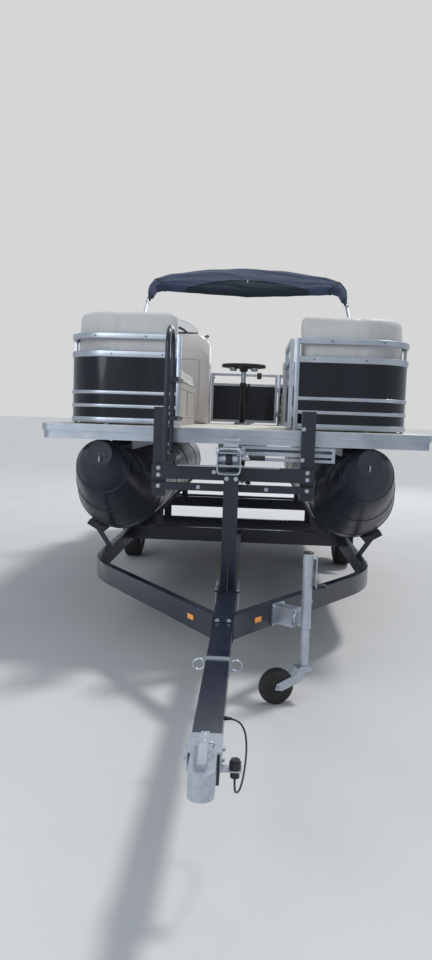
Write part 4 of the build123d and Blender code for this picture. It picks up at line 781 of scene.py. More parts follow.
BACK_SECTION = (  # towards the seat (+) or the fence (-), and height as a share of the back
    (0.046, 0.0), (0.050, 0.03), (0.051, 0.25), (0.047, 0.55), (0.044, 0.74), (0.048, 0.80),
    (0.050, 0.88), (0.042, 0.945), (0.026, 0.982), (0.0, 1.0), (-0.032, 0.992), (-0.054, 0.965),
    (-0.064, 0.92), (-0.067, 0.5), (-0.062, 0.04), (-0.050, 0.0),
)


def back_shape(line, seams, side_sign):
    """Back that follows its line, pinched at its upright seams and rounded at its ends."""
    length = distances(line)
    low, tall = DECK + SEAT_LOW + 0.004, BACK_HIGH - SEAT_LOW - 0.016
    rings = []
    for i, p in enumerate(line):
        inward = seatward(line, i, side_sign)
        near_end = min(length[i], length[-1] - length[i])
        end = 1.0 if near_end > 0.04 else 0.62 + 0.38 * math.sqrt(max(0.0, 1 - (1 - near_end / 0.04) ** 2))
        pinch = sum(math.exp(-((length[i] - s) / 0.02) ** 2) for s in seams)
        wide = end * (1 - 0.16 * pinch)
        drop = end_drop(near_end)
        rings.append([Vector((p.x + inward.x * out * wide, BOW + p.y + inward.y * out * wide,
                              low + (tall - drop) * up * (1 - 0.008 * pinch)))
                      for out, up in BACK_SECTION])
    return skin(rings)


def start_pad(name, shape, voxel, cap, body="root", hold=None):
    """Puts a closed shape in line for the simulation."""
    made = piece(name, *shape, "seat_vinyl", body)
    even = made.modifiers.new("even_faces", "REMESH")
    even.mode, even.voxel_size = "VOXEL", voxel
    plain(made)
    PADS.append((made, cap, hold))
    return made


def fill_pads():
    """Cloth simulation of every pad at once, with its result kept as plain mesh."""
    starts = {}
    for made, cap, hold in PADS:
        starts[made.name] = np.array([v.co[:] for v in made.data.vertices])
        group = made.vertex_groups.new(name="held")
        for v in made.data.vertices:
            weight = hold(v.co) if hold else 0.0
            if weight > 0:
                group.add([v.index], weight, "REPLACE")
        cloth = made.modifiers.new("filling", "CLOTH")
        fabric = cloth.settings
        fabric.quality, fabric.mass = 4, 0.4
        fabric.tension_stiffness = fabric.compression_stiffness = 18
        fabric.shear_stiffness, fabric.bending_stiffness = 10, 1.5
        fabric.use_pressure, fabric.uniform_pressure_force = True, 4.0
        fabric.effector_weights.gravity = 0
        fabric.vertex_group_mass = "held"
        cloth.collision_settings.use_collision = False
    scene = bpy.context.scene
    for step in range(1, 21):
        scene.frame_set(step)
    graph = bpy.context.evaluated_depsgraph_get()
    for made, cap, hold in PADS:
        start = starts[made.name]
        settled = made.evaluated_get(graph).to_mesh()
        end = np.array([v.co[:] for v in settled.vertices])
        move = end - start
        size = np.linalg.norm(move, axis=1, keepdims=True)
        start = start + move * np.minimum(1.0, cap / np.maximum(size, 1e-9))
        made.modifiers.clear()
        made.vertex_groups.clear()
        made.data.vertices.foreach_set("co", start.ravel())
        fine = made.modifiers.new("fine", "SUBSURF")
        fine.levels = fine.render_levels = 1
        plain(made)
        made.data.shade_smooth()
    scene.frame_set(1)


def lie_on(pad, points, lift=0.002):
    """Line of points brought onto a pad's surface."""
    surface = surface_of(pad)
    return [onto(surface, p, lift) for p in points]


def lounge_lines(line, seams, side_sign):
    """Piping lines of a port lounge: along the back's top edge, its bolster seam and its upright seams."""
    length = distances(line)
    low, tall = DECK + SEAT_LOW, BACK_HIGH - SEAT_LOW

    def row(out, up):
        points = []
        for i, p in enumerate(line):
            inward = seatward(line, i, side_sign)
            points.append(Vector((p.x + inward.x * out, BOW + p.y + inward.y * out, low + tall * up)))
        return points

    lines = [row(0.05, 0.97), row(0.07, 0.765)]
    for s in seams:
        i = min(range(len(length)), key=lambda k: abs(length[k] - s))
        inward = seatward(line, i, side_sign)
        lines.append([Vector((line[i].x + inward.x * 0.07, BOW + line[i].y + inward.y * 0.07, low + tall * u))
                      for u in np.linspace(0.06, 0.96, 14)])
    return lines


# Lounges: name, inner edge, front, rear, corner at the front, mirrored, seams along the back, seat splits
LOUNGES = (
    ("bow_port", 0.430, 0.370, 2.050, True, False, (0.42, 1.02, 1.58), (1.27,)),
    ("bow_starboard", 0.430, 0.370, 2.050, True, True, (0.42, 1.02, 1.58), (1.27,)),
    ("quarter", 0.470, 3.350, 4.480, False, False, (0.42, 1.02), (3.83,)),
)


def flip(shape, mirror_it):
    return mirrored(shape) if mirror_it else shape


def add_lounges():
    backs, seats = [], []
    for name, inner, front, rear, at_front, mirror_it, seams, splits in LOUNGES:
        line = back_line(inner, front, rear, at_front)
        sign = 1 if at_front else -1
        shape = flip(back_shape(line, seams, sign), mirror_it)
        back = start_pad(name + "_back", shape, 0.016, 0.012,
                         hold=lambda p: 1.0 if p.z < DECK + SEAT_LOW + 0.02 else 0.0)
        backs.append((back, line, seams, sign, mirror_it))
        lo, hi = (front + BACK_ROOM, rear) if at_front else (front, rear - BACK_ROOM)
        cuts = [lo, *splits, hi]
        for i, (a, b) in enumerate(zip(cuts, cuts[1:])):
            a, b = a + (0.004 if i else 0.002), b - 0.004
            at_corner = (i == 0) if at_front else (i == len(cuts) - 2)
            radii = [0.04, 0.04, 0.04, 0.04]
            if at_corner:
                radii[1 if at_front else 2] = 0.19
            plan = rounded_plan([(inner + 0.004, a), (SEAT_EDGE, a), (SEAT_EDGE, b), (inner + 0.004, b)],
                                radii)
            shape = flip(cushion_shape(plan, DECK + SEAT_LOW + 0.002, DECK + SEAT_HIGH - 0.012), mirror_it)
            seat = start_pad("%s_seat_%d" % (name, i + 1), shape, 0.015, 0.014,
                             hold=lambda p: 1.0 if p.z < DECK + SEAT_LOW + 0.012 else 0.0)
            seats.append((seat, plan, mirror_it))
    return backs, seats


BACKS, SEATS = add_lounges()
for made in (entry[0] for entry in BACKS):
    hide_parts("lounge_backs")
for made in (entry[0] for entry in SEATS):
    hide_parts("lounge_seats")

HELM_LOW, HELM_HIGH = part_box("helm_seat_cushions")


def add_helm_pads():
    lo, hi = HELM_LOW, HELM_HIGH
    seat_top = lo.z + 0.110
    left, right, front = lo.x + 0.006, hi.x - 0.006, lo.y - BOW
    corners = [(left, front + 0.006), (right, front + 0.006), (right, front + 0.462), (left, front + 0.462)]
    plan = rounded_plan(corners, [0.11, 0.11, 0.05, 0.05], 0.025)
    seat_shape = cushion_shape(plan, lo.z + 0.003, seat_top - 0.012)
    seat = start_pad("helm_seat_pad", seat_shape, 0.010, 0.013, "helm_chair",
                     hold=lambda p: 1.0 if p.z < lo.z + 0.015 else 0.0)
    back_low, back_high = seat_top + 0.006, hi.z - 0.008
    front, rear = lo.y + 0.355 + 0.008, lo.y + 0.4697 - 0.006
    middle = (lo.x + hi.x) / 2
    rows = []
    for t in np.linspace(0, 1, 15):
        z = back_low + (back_high - back_low) * t
        swell = 0.9 + 0.1 * math.sin(math.pi * min(1, t * 1.5 + 0.2) / 1.7)
        round_top = 1.0 if t < 0.84 else math.sqrt(max(0.05, 1 - ((t - 0.84) / 0.18) ** 2))
        wide = 0.238 * swell * round_top
        deep = (rear - front) * (0.92 - 0.1 * abs(t - 0.45)) * (0.55 if t in (0, 1) else 1.0)
        mid = rear - deep / 2
        ring = []
        for a in turns(36):
            across, along = bowed(math.cos(a), 0.5), bowed(math.sin(a), 0.6)
            ring.append(Vector((middle + wide * across, mid + deep / 2 * along, z)))
        rows.append(ring)
    back = start_pad("helm_back_pad", skin(rows), 0.010, 0.010, "helm_chair",
                     hold=lambda p: 1.0 if p.y > rear - 0.004 else 0.0)
    for made in (seat, back):
        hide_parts("helm_seat_cushions")
    return seat, back, plan


HELM_SEAT, HELM_BACK, HELM_PLAN = add_helm_pads()
fill_pads()


def add_piping():
    welts = []
    for back, line, seams, sign, mirror_it in BACKS:
        for points in lounge_lines(line, seams, sign):
            if mirror_it:
                points = [Vector((-p.x, p.y, p.z)) for p in points]
            welts.append(pipe(smooth_line(lie_on(back, points, 0.0012), 2), 0.0042, 6))
    for seat, plan, mirror_it in SEATS:
        for pull, z in ((0.006, SEAT_HIGH - 0.022), (0.002, SEAT_LOW + 0.022)):
            points = [at(p.x, p.y, DECK + z) for p in inset(plan, -pull)]
            if mirror_it:
                points = [Vector((-p.x, p.y, p.z)) for p in points]
            welts.append(pipe(lie_on(seat, points, 0.0012), 0.004, 6, closed=True))
    piece("lounge_piping", *add_up(*welts), "seat_piping")
    welts = []
    lo, hi = HELM_LOW, HELM_HIGH
    for z in (lo.z + 0.088, lo.z + 0.02):
        points = [at(p.x, p.y, z) for p in inset(HELM_PLAN, -0.004)]
        welts.append(pipe(lie_on(HELM_SEAT, points, 0.001), 0.0038, 6, closed=True))
    front = lo.y + 0.36
    rim = [Vector(((lo.x + hi.x) / 2 + 0.19 * bowed(math.cos(a), 0.5), front - 0.05,
                   (lo.z + 0.116 + hi.z) / 2 + 0.20 * bowed(math.sin(a), 0.5))) for a in turns(60)]
    welts.append(pipe(lie_on(HELM_BACK, rim, 0.001), 0.0035, 6, closed=True))
    piece("helm_piping", *add_up(*welts), "seat_piping", "helm_chair")


add_piping()


# Folded sun top: the cloth rolled in its boot, two tone, with its zip, straps and end folds
LEAN = math.radians(43.0)
TOP_FOOT = at(0, 3.050, 0)
TOP_FOOT.z = RAIL_TOP + 0.035
TOP_UP = Vector((0, math.sin(LEAN), math.cos(LEAN)))
TOP_OUT = Vector((0, -math.cos(LEAN), math.sin(LEAN)))
ROLL = (  # across, middle along the lean, half depth, degrees the roll drops, half thickness
    (0.0, 1.3675, 0.2485, 0.0, 0.075), (0.450, 1.364, 0.217, 7.0, 0.075),
    (0.880, 1.326, 0.147, 24.0, 0.075), (1.040, 1.290, 0.098, 46.0, 0.066),
    (1.106, 1.210, 0.058, 74.0, 0.056), (1.118, 1.120, 0.043, 84.0, 0.050),
    (1.122, 1.050, 0.034, 88.0, 0.044),
)


def on_top(x, v, w=0.0):
    return TOP_FOOT + Vector((x, 0, 0)) + TOP_UP * v + TOP_OUT * w


def roll_ways(drop):
    """Directions along the roll and up across it, where it drops by so many degrees."""
    tilt = math.radians(drop)
    return (Vector((math.cos(tilt), 0, 0)) - TOP_UP * math.sin(tilt),
            Vector((math.sin(tilt), 0, 0)) + TOP_UP * math.cos(tilt))


def zip_share(x):
    """Where the boot's zip runs, as a share of the roll's half depth below its middle."""
    return 0.16 + 0.84 * (abs(x) / 0.80) ** 1.8


def add_folded_top():
    rows = [(-x, v, h, -d, t) for x, v, h, d, t in reversed(ROLL[1:])] + [tuple(r) for r in ROLL]
    fine = []
    for i in range(len(rows) - 1):
        steps = max(3, int(abs(rows[i + 1][0] - rows[i][0]) / 0.02))
        for k in range(steps):
            t = k / steps
            fine.append([a + (b - a) * t for a, b in zip(rows[i], rows[i + 1])])
    fine.append(list(rows[-1]))
    rings = []
    for i, (x, v, half, drop, thick) in enumerate(fine):
        _, up = roll_ways(drop)
        centre = on_top(x, v)
        end = min(i, len(fine) - 1 - i)
        tie = math.exp(-((abs(x) - 1.03) / 0.022) ** 2)
        ring = []
        for a in turns(72):
            su, sw = bowed(math.cos(a), 0.62), bowed(math.sin(a), 0.62)
            # folds that run along the roll, and slack between the ties
            wander = 0.35 * math.sin(x * 3.1) + 0.2 * math.sin(x * 9.7 + 1)
            crease = (0.006 * math.sin(9 * (su + wander * 0.2) + 2.0 * math.sin(x * 2.3)) * abs(sw)
                      + 0.003 * math.sin(21 * su + x * 14 + 3 * sw) * abs(sw))
            slack = 1 - 0.04 * tie + 0.006 * math.sin(x * 26 + 5 * su)
            shrink = 0.965 if end > 1 else (0.86 if end == 1 else 0.6)
            ring.append(centre + up * (half * 0.975 * su * slack * shrink)
                        + TOP_OUT * ((thick * 0.90 * sw * slack + crease * 0.8) * shrink))
        rings.append(ring)
    boot = piece("rolled_canvas", *skin(rings), "top_canvas", "sun_top")
    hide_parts("folded_top")
    boot.data.materials.append(FINISH["top_canvas_inner"])
    for face in boot.data.polygons:
        x, v, half, drop, _ = min(fine, key=lambda row: abs(row[0] - face.center.x))
        if (face.center - TOP_FOOT).dot(TOP_UP) < v - half * zip_share(x) and abs(x) < 0.86:
            face.material_index = 1

    surface = surface_of(boot)

    def struck(start, way, lift):
        place, normal, _, _ = surface.ray_cast(start, way)
        return place + normal * lift

    crown = []
    for x, v, h, d, t in fine[2:-2:2]:
        _, up = roll_ways(d)
        crown.append(struck(on_top(x, v, t * 0.15) + up * (h + 0.2), -up, 0.0015))
    piece("top_piping", *pipe(smooth_line(crown, 2), 0.0038, 8), "seat_piping", "sun_top")
    zip_line = []
    for x, v, h, d, t in fine:
        if abs(x) < 0.76:
            _, up = roll_ways(d)
            zip_line.append(struck(on_top(x, v, 0.3) - up * (h * zip_share(x)), -TOP_OUT, 0.0015))
    piece("top_zip", *pipe(zip_line, 0.0042, 6, flat=0.5), "strap_webbing", "sun_top")

    straps = []
    for x in (-1.03, 1.03):
        _, v, half, drop, thick = min(fine, key=lambda row: abs(row[0] - x))
        along, up = roll_ways(drop)
        half_width = along * 0.0125
        ring = []
        for a in turns(48):
            start = on_top(x, v) + up * (half * 1.2 * math.cos(a)) + TOP_OUT * (thick * 1.3 * math.sin(a))
            ring.append(onto(surface, start, 0.002))
        band = []
        for p in ring + ring[:1]:
            outer = (p - on_top(x, v)).normalized() * 0.0018
            band.append([p - half_width, p - half_width + outer, p + half_width + outer, p + half_width])
        straps.append(skin(band, capped=False))
    piece("top_straps", *add_up(*straps), "strap_webbing", "sun_top", smooth=False)

    # small zip pull at the middle, and the webbing that hangs the roll from each leg
    middle = struck(on_top(0, ROLL[0][1] - ROLL[0][2] * zip_share(0), 0.3), -TOP_OUT, 0.004)
    pull = [turned([(0, 0.006), (0.004, 0.0065), (0.006, 0.004), (0.006, 0.0)], middle, TOP_OUT, 16)]
    pull.append(pipe([middle, middle - TOP_UP * 0.02 + TOP_OUT * 0.003,
                      middle - TOP_UP * 0.052 + TOP_OUT * 0.004], 0.0042, 8, flat=0.5))
    piece("top_zip_pull", *add_up(*pull), "seat_piping", "sun_top")
    tails = []
    for side in (-1, 1):
        foot = on_top(side * 1.128, 1.070, 0.0)
        end = on_top(side * 1.139, 0.930, 0.018)
        half_width, skin_deep = TOP_OUT * 0.0125, Vector((0.0009 * side, 0, 0))
        band = []
        for k in range(10):
            p = foot.lerp(end, k / 9) + Vector((side * 0.017, 0, 0)) + TOP_OUT * (0.012 * math.sin(k * 0.9))
            band.append([p - half_width - skin_deep, p - half_width + skin_deep,
                         p + half_width + skin_deep, p + half_width - skin_deep])
        tails.append(skin(band))
        tails.append(skin([[on_top(side * 1.131, v, 0)
                            + (Vector((side, 0, 0)) * math.cos(a) + TOP_OUT * math.sin(a)) * 0.0165
                            for a in turns(20)] for v in (1.000, 1.033)]))
    piece("top_leg_straps", *add_up(*tails), "strap_webbing", "sun_top", smooth=False)


add_folded_top()


# Outboard motor
TRANSOM = 5.480
STEER_Y, PROP_Y, PROP_Z = TRANSOM + 0.080, TRANSOM + 0.405, 0.660
LEG_TOP = PROP_Z + 0.760
COWL = (  # half width, front and rear from the steering axis, height above the leg's top
    (0.120, 0.055, 0.400, 0.001), (0.158, 0.040, 0.480, 0.080), (0.166, 0.036, 0.520, 0.220),
    (0.160, 0.040, 0.540, 0.360), (0.140, 0.065, 0.510, 0.460), (0.095, 0.120, 0.430, 0.505),
)


def rounded_ring(half, front, rear, z, points=64, square=0.72):
    """Plan of the cowling at one height: narrower and rounder at the front."""
    middle, reach = (front + rear) / 2, (rear - front) / 2
    return [at(half * bowed(math.sin(a), square) * (1 - 0.06 * (1 - math.cos(a))),
               STEER_Y + middle + reach * bowed(math.cos(a), square), z) for a in turns(points)]


def add_cowl():
    keys = [Vector((a, b, c)) for a, b, c, _ in COWL]
    heights = [r[3] for r in COWL]
    rows = []
    shape = smooth_line(keys, 6)
    tall = [v.x for v in smooth_line([Vector((h, 0, 0)) for h in heights], 6)]
    for v, h in zip(shape, tall):
        rows.append((v.x * 0.995, v.y + 0.001, v.z - 0.002, LEG_TOP + h * 0.995 + 0.001))
    half, front, rear, z = rows[-1]
    for f, rise in ((0.8, 0.012), (0.5, 0.019), (0.2, 0.0215)):
        mid = (front + rear) / 2
        rows.append((half * f, mid + (front - mid) * f, mid + (rear - mid) * f,
                     min(z + rise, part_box("motor_cowl")[1].z)))
    made = piece("motor_cowling", *skin([rounded_ring(*r) for r in rows]), "motor_black", "motor")
    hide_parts("motor_cowl")
    # parting line with its rubber seal, air intake louvres at the rear and the pull latch
    seal = rounded_ring(0.1625, 0.0375, 0.500, LEG_TOP + 0.142)
    piece("cowl_seal", *pipe(seal, 0.005, 6, closed=True), "pad_rubber", "motor")
    surface = surface_of(made)

    ribs = []
    for k in range(5):
        z = LEG_TOP + 0.30 + 0.022 * k
        for side in (-1, 1):
            line = [onto(surface, at(side * 0.2, STEER_Y + y, z), 0.0015) for y in np.linspace(0.36, 0.50, 8)]
            ribs.append(pipe(line, 0.0045, 6))
    for side in (-1, 1):
        line = []
        for y in np.linspace(0.06, 0.46, 24):
            z = LEG_TOP + 0.205 + 0.03 * math.sin((y - 0.06) * 6)
            line.append(onto(surface, at(side * 0.2, STEER_Y + y, z), 0.0008))
        ribs.append(pipe(line, 0.003, 6))
    piece("cowl_louvres", *add_up(*ribs), "black_plastic", "motor")
    latch = slab([onto(surface, at(x, STEER_Y + 0.7, LEG_TOP + z), 0.001)
                  for x, z in ((-0.03, 0.10), (0.03, 0.10), (0.03, 0.135), (-0.03, 0.135))],
                 (0, -0.004, 0), (0, 0.008, 0))
    softened(piece("cowl_latch", *latch, "black_plastic", "motor", smooth=False), 0.003)


def add_propeller():
    """Three twisted, cupped blades on a flared hub."""
    shapes = [turned([(0.0, 0.012), (0.0, 0.0365), (0.004, 0.0378), (0.05, 0.0378), (0.08, 0.0385),
                      (0.0848, 0.0395), (0.0848, 0.030), (0.06, 0.028), (0.06, 0.0092),
                      (0.0, 0.0092)], at(0, PROP_Y, PROP_Z), (0, 1, 0), 48)]
    for b in range(3):
        turn = math.radians(90 + 120 * b)
        rows = []
        for i in range(13):
            t = i / 12
            r = 0.034 + (0.1435 - 0.034) * t
            chord = 0.050 + 0.062 * math.sin(math.pi * min(t * 0.95 + 0.12, 1.0)) ** 0.8
            if t > 0.72:
                chord *= math.sqrt(max(0.03, 1 - ((t - 0.72) / 0.285) ** 2))
            pitch = math.atan2(0.38, 2 * math.pi * max(r, 0.05)) * 0.9
            thick = 0.0062 * (1 - t) + 0.0022
            row = []
            for k in range(20):
                a = 2 * math.pi * k / 20
                c = math.cos(a) * chord / 2
                camber = 0.010 * (1 - (2 * c / chord) ** 2)
                n = math.sin(a) * thick / 2 * (1 - 0.5 * abs(math.cos(a))) + camber
                across = c * math.cos(pitch) - n * math.sin(pitch)
                along = c * math.sin(pitch) + n * math.cos(pitch)
                angle = turn + across / r * 0.82
                row.append(at(r * math.cos(angle), PROP_Y + 0.042 + along * 0.62,
                              PROP_Z + r * math.sin(angle)))
            rows.append(row)
        shapes.append(skin(rows))
    made = piece("propeller_blades", *add_up(*shapes), "prop_metal", "propeller")
    shade_by_angle(made, 50)
    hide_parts("propeller")


add_cowl()
add_propeller()


# Wheels: tyres with tread blocks and side ribs, lug nuts, valves and dust caps
AXLE_Y, TYRE_R, WHEEL_X = 3.150, 0.305, 1.145


def tread_tree():
    """Lugs round a tyre: each row of points carries one block, turned to face outwards."""
    tree = Tree("tyre_lugs", Across=0.022, Along=0.020, Rise=0.008)
    given = tree.inputs.outputs
    size = tree.node("ShaderNodeCombineXYZ",
                     [(given["Across"], "X"), (given["Along"], "Y"), (given["Rise"], "Z")])
    lug = tree.node("GeometryNodeMeshCube", [(size.outputs[0], "Size")])
    return tree.finish(lug.outputs["Mesh"], pivot_axis="X")


LUGS = tread_tree()
LUGS_ROUND = 54


def axle_ring(centre, x, radius, count):
    """Ring of points about the axle, so far across from a wheel's middle."""
    return [centre + Vector((x, radius * math.cos(a), radius * math.sin(a))) for a in turns(count)]


def add_wheel(side, word):
    centre = at(side * WHEEL_X, AXLE_Y, TYRE_R)
    half = 0.0875
    profile = [(-half + 0.022, 0.1705), (-half + 0.012, 0.176), (-half + 0.004, 0.196), (-half, 0.222),
               (-half + 0.001, 0.247), (-half + 0.006, 0.270), (-half + 0.014, 0.284),
               (-half + 0.026, 0.2945), (-half + 0.045, 0.2975), (0, 0.2985)]
    profile += [(-x, r) for x, r in reversed(profile[:-1])]
    tyre = piece("tyre_carcass_" + word, *turned(profile + profile[:1], centre, (1, 0, 0), 72), "tyre_rubber",
                 "wheel_" + word)
    shade_by_angle(tyre, 30)
    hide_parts("tyre_" + word)
    places, aims = [], []
    for x, shift in ((-0.060, 0), (-0.030, 0.5), (0.0, 0), (0.030, 0.5), (0.060, 0)):
        for k in range(LUGS_ROUND):
            a = 2 * math.pi * (k + shift) / LUGS_ROUND
            out = Vector((0, math.cos(a), math.sin(a)))
            places.append(centre + Vector((x, 0, 0)) + out * (0.2995 if abs(x) < 0.05 else 0.2965))
            aims.append(out)
    LUGS.grow("tyre_tread_" + word, places, aims, "tyre_rubber", "wheel_" + word, smooth=False,
              Across=0.024, Along=0.0255, Rise=0.0095)
    ribs = []
    for x in (-half - 0.0006, half + 0.0006):
        for r in (0.214, 0.228, 0.252):
            ring = axle_ring(centre, x * (1.0 if r < 0.25 else 0.985), r, 72)
            ribs.append(pipe(ring, 0.0022, 6, closed=True))
    for a in turns(60):
        for x in (-half + 0.006, half - 0.006):
            inner = centre + Vector((x * 1.02, 0.262 * math.cos(a), 0.262 * math.sin(a)))
            outer = centre + Vector((x * 0.94, 0.287 * math.cos(a), 0.287 * math.sin(a)))
            ribs.append(pipe([inner, outer], 0.0024, 5))
    piece("tyre_ribs_" + word, *add_up(*ribs), "tyre_rubber", "wheel_" + word)

    face = side * 0.0305
    nuts, ways = [], []
    for k in range(5):
        a = 2 * math.pi * (k + 0.5) / 5
        nuts.append(centre + Vector((side * 0.0215, 0.078 * math.cos(a), 0.078 * math.sin(a))))
        ways.append(Vector((side, 0, 0)))
    BOLTS.grow("lug_nuts_" + word, nuts, ways, "zinc", "wheel_" + word, Head=0.0105, Height=0.016,
               Washer=0.013)
    cap = turned([(0, 0.034), (0.006, 0.034), (0.010, 0.030), (0.034, 0.029), (0.040, 0.024), (0.042, 0.010),
                  (0.042, 0.0)],
                 centre + Vector((face, 0, 0)), (side, 0, 0), 36)
    valve = pipe([centre + Vector((side * 0.012, 0.138, 0.0)), centre + Vector((side * 0.040, 0.136, 0.0))],
                 0.004, 8)
    piece("hub_cap_" + word, *cap, "zinc", "wheel_" + word)
    piece("valve_" + word, *valve, "pad_rubber", "wheel_" + word)
    lip = []
    for x in (-0.071, 0.071):
        lip.append(pipe(axle_ring(centre, x, 0.1655, 64), 0.004, 6, closed=True))
    lip.append(pipe(axle_ring(centre, side * 0.022, 0.094, 64), 0.003, 6, closed=True))
    piece("rim_lips_" + word, *add_up(*lip), "wheel_metal", "wheel_" + word)


for side, word in ((1, "port"), (-1, "starboard")):
    add_wheel(side, word)


# Jack: caster tyre with its rim, axle nuts, the leg's seams and cap, the crank's grip and the pull pin
JACK_LOW, JACK_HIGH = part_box("jack_wheel")
JACK_HUB = (JACK_LOW + JACK_HIGH) / 2
CASTER_AXIS = Vector((0.39, -0.92, 0)).normalized()
WING = math.radians(35)     # how far each wing of the frame swings out from straight aft
WING_AHEAD = Vector((math.sin(WING), math.cos(WING), 0))
WING_OUT = Vector((math.cos(WING), -math.sin(WING), 0))


def add_jack():
    wheel = turned([(-0.030, 0.030), (-0.030, 0.078), (-0.027, 0.090), (-0.018, 0.0975), (0, 0.0998),
                    (0.018, 0.0975), (0.027, 0.090), (0.030, 0.078), (0.030, 0.030), (0.028, 0.0085),
                    (-0.028, 0.0085), (-0.030, 0.030)], JACK_HUB, CASTER_AXIS, 64)
    made = piece("caster_wheel", *wheel, "pad_rubber", "jack_wheel")
    shade_by_angle(made, 40)
    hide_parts("jack_wheel")
    rim = []
    for t in (-0.0303, 0.0303):
        side = CASTER_AXIS.orthogonal().normalized()
        other = CASTER_AXIS.cross(side)
        for r, thick in ((0.060, 0.0025), (0.032, 0.003)):
            ring = [JACK_HUB + CASTER_AXIS * t + (side * math.cos(a) + other * math.sin(a)) * r
                    for a in turns(48)]
            rim.append(pipe(ring, thick, 6, closed=True))
        for k in range(6):
            a = 2 * math.pi * k / 6
            way = side * math.cos(a) + other * math.sin(a)
            face = JACK_HUB + CASTER_AXIS * t
            rim.append(pipe([face + way * 0.030, face + way * 0.060], 0.003, 6))
    piece("caster_rim", *add_up(*rim), "black_plastic", "jack_wheel")
    ends = [JACK_HUB + CASTER_AXIS * s * 0.0385 for s in (-1, 1)]
    BOLTS.grow("caster_nuts", ends, [CASTER_AXIS * s for s in (-1, 1)], "zinc", "jack_caster", Head=0.0095,
               Height=0.008, Washer=0.013)

    leg_lo, leg_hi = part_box("jack_leg")
    axis = Vector(((leg_lo.x + leg_hi.x) / 2, (leg_lo.y + leg_hi.y) / 2, 0))
    rings = []
    for z, r in ((0.8285, 0.0292), (0.776, 0.0292), (0.700, 0.0290), (0.420, 0.0292)):
        ring = [axis + Vector((r * math.cos(a), r * math.sin(a), z)) for a in turns(40)]
        rings.append(pipe(ring, 0.0022, 6, closed=True))
    piece("jack_seams", *add_up(*rings), "zinc", "jack")
    cap = turned([(0, 0.0286), (0.001, 0.0300), (0.006, 0.0296), (0.010, 0.025), (0.012, 0.012),
                  (0.0125, 0.0)], axis + Vector((0, 0, 0.8302)), (0, 0, 1), 36)
    piece("jack_cap", *cap, "black_plastic", "jack")
    grip_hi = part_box("jack_body")[1].x
    grip = turned([(0, 0.0095), (0.002, 0.0125), (0.010, 0.0138), (0.030, 0.0128), (0.046, 0.0135),
                   (0.050, 0.0118), (0.0515, 0.004), (0.0515, 0.0)],
                  Vector((grip_hi - 0.0515, axis.y, 0.650)), (1, 0, 0), 24)
    piece("jack_grip", *grip, "black_plastic", "jack")

    # bolts and rivets of the swivel bracket, and the pull pin through its flange
    outward, along = WING_OUT, WING_AHEAD
    hub = axis + Vector((0, 0, 0.461)) - outward * 0.0455
    flange = hub + outward * 0.004
    heads, ways = [], []
    for a in (45, 135, 225, 315):
        turn = math.radians(a)
        heads.append(flange + along * (0.033 * math.cos(turn)) + Vector((0, 0, 0.033 * math.sin(turn))))
        ways.append(outward)
    face_lo = axis + Vector((0, 0, 0.461)) - outward * (0.190 - 0.0083)
    plates = [face_lo + along * t + Vector((0, 0, z)) for t in (-0.047, 0.047) for z in (-0.050, 0.050)]
    BOLTS.grow("jack_bracket_bolts", plates, [outward] * 4, "zinc", "root", Head=0.0085, Height=0.007,
               Washer=0.012)
    SCREWS.grow("jack_flange_rivets", heads, ways, "zinc", "jack", Head=0.0055, Rise=0.5)
    hole = flange + along * 0.030
    pin = pipe([hole + outward * 0.002, hole + outward * 0.030,
                hole + outward * 0.034 + Vector((0, 0, 0.004)),
                hole + outward * 0.034 + Vector((0, 0, 0.022))], 0.0045, 10)
    ring_c = hole + outward * 0.034 + Vector((0, 0, 0.036))
    ring = [ring_c + along * (0.014 * math.cos(a)) + Vector((0, 0, 0.014 * math.sin(a))) for a in turns(28)]
    piece("jack_pull_pin", *add_up(pin, pipe(ring, 0.0022, 8, closed=True)), "zinc", "jack")


add_jack()


# Trailer fastenings: beams, saddle, brackets, frame corners
def add_trailer_bolts():
    places, ways = [], []

    def spot(x, y, z, way):
        places.append(at(x, y, z))
        ways.append(Vector(way))

    front = -0.1255
    for x in (-0.48, 0.48):
        for z in (1.222, 1.177, 1.106):
            spot(x, front, z, (0, -1, 0))
    for x, y, z in ((-0.12, front, 1.207), (0.028, -0.4205, 1.192), (-0.028, -0.4205, 1.192),
                    (0.22, front, 1.106), (-0.22, front, 1.106)):
        spot(x, y, z, (0, -1, 0))
    for side in (-1, 1):
        spot(side * 0.448, -0.076, 1.50, (0, -1, 0))
        spot(side * 0.448, -0.076, 1.30, (0, -1, 0))
        for y in (-0.45, -0.303):
            spot(side * 0.066, y, 0.5165, (0, 0, 1))
        for y in (1.95, 2.65, 4.55):
            for dz in (0.44, 0.49):
                spot(side * 1.0055, y + 0.018, dz, (side, 0, 0))
        for y in (-0.98, -0.40):
            spot(side * 0.0566, y, 0.45, (side, 0, 0))
        spot(side * 0.03, -1.083, 0.5058, (0, 0, 1))
    BOLTS.grow("trailer_bolts", places, ways, "zinc", Head=0.0095, Height=0.008, Washer=0.0135)
    studs, out = [], []
    for side in (-1, 1):
        for y in (-2.53, -2.455):
            studs.append(at(side * 0.0565, y, 0.47))
            out.append(Vector((side, 0, 0)))
    BOLTS.grow("coupler_bolts", studs, out, "zinc", Head=0.0095, Height=0.008, Washer=0.0125)


add_trailer_bolts()


# Winch: strap on its drum, gears, grip, nuts and the housing's edge
def gear_ring(x, y, z, radius, tooth, teeth):
    """Outline of a gear that faces across the boat: every second point is a tooth's tip."""
    reach = [radius + tooth * (1 if k % 2 else -1) for k in range(2 * teeth)]
    return [at(x, y + r * math.cos(a), z + r * math.sin(a)) for r, a in zip(reach, turns(2 * teeth))]


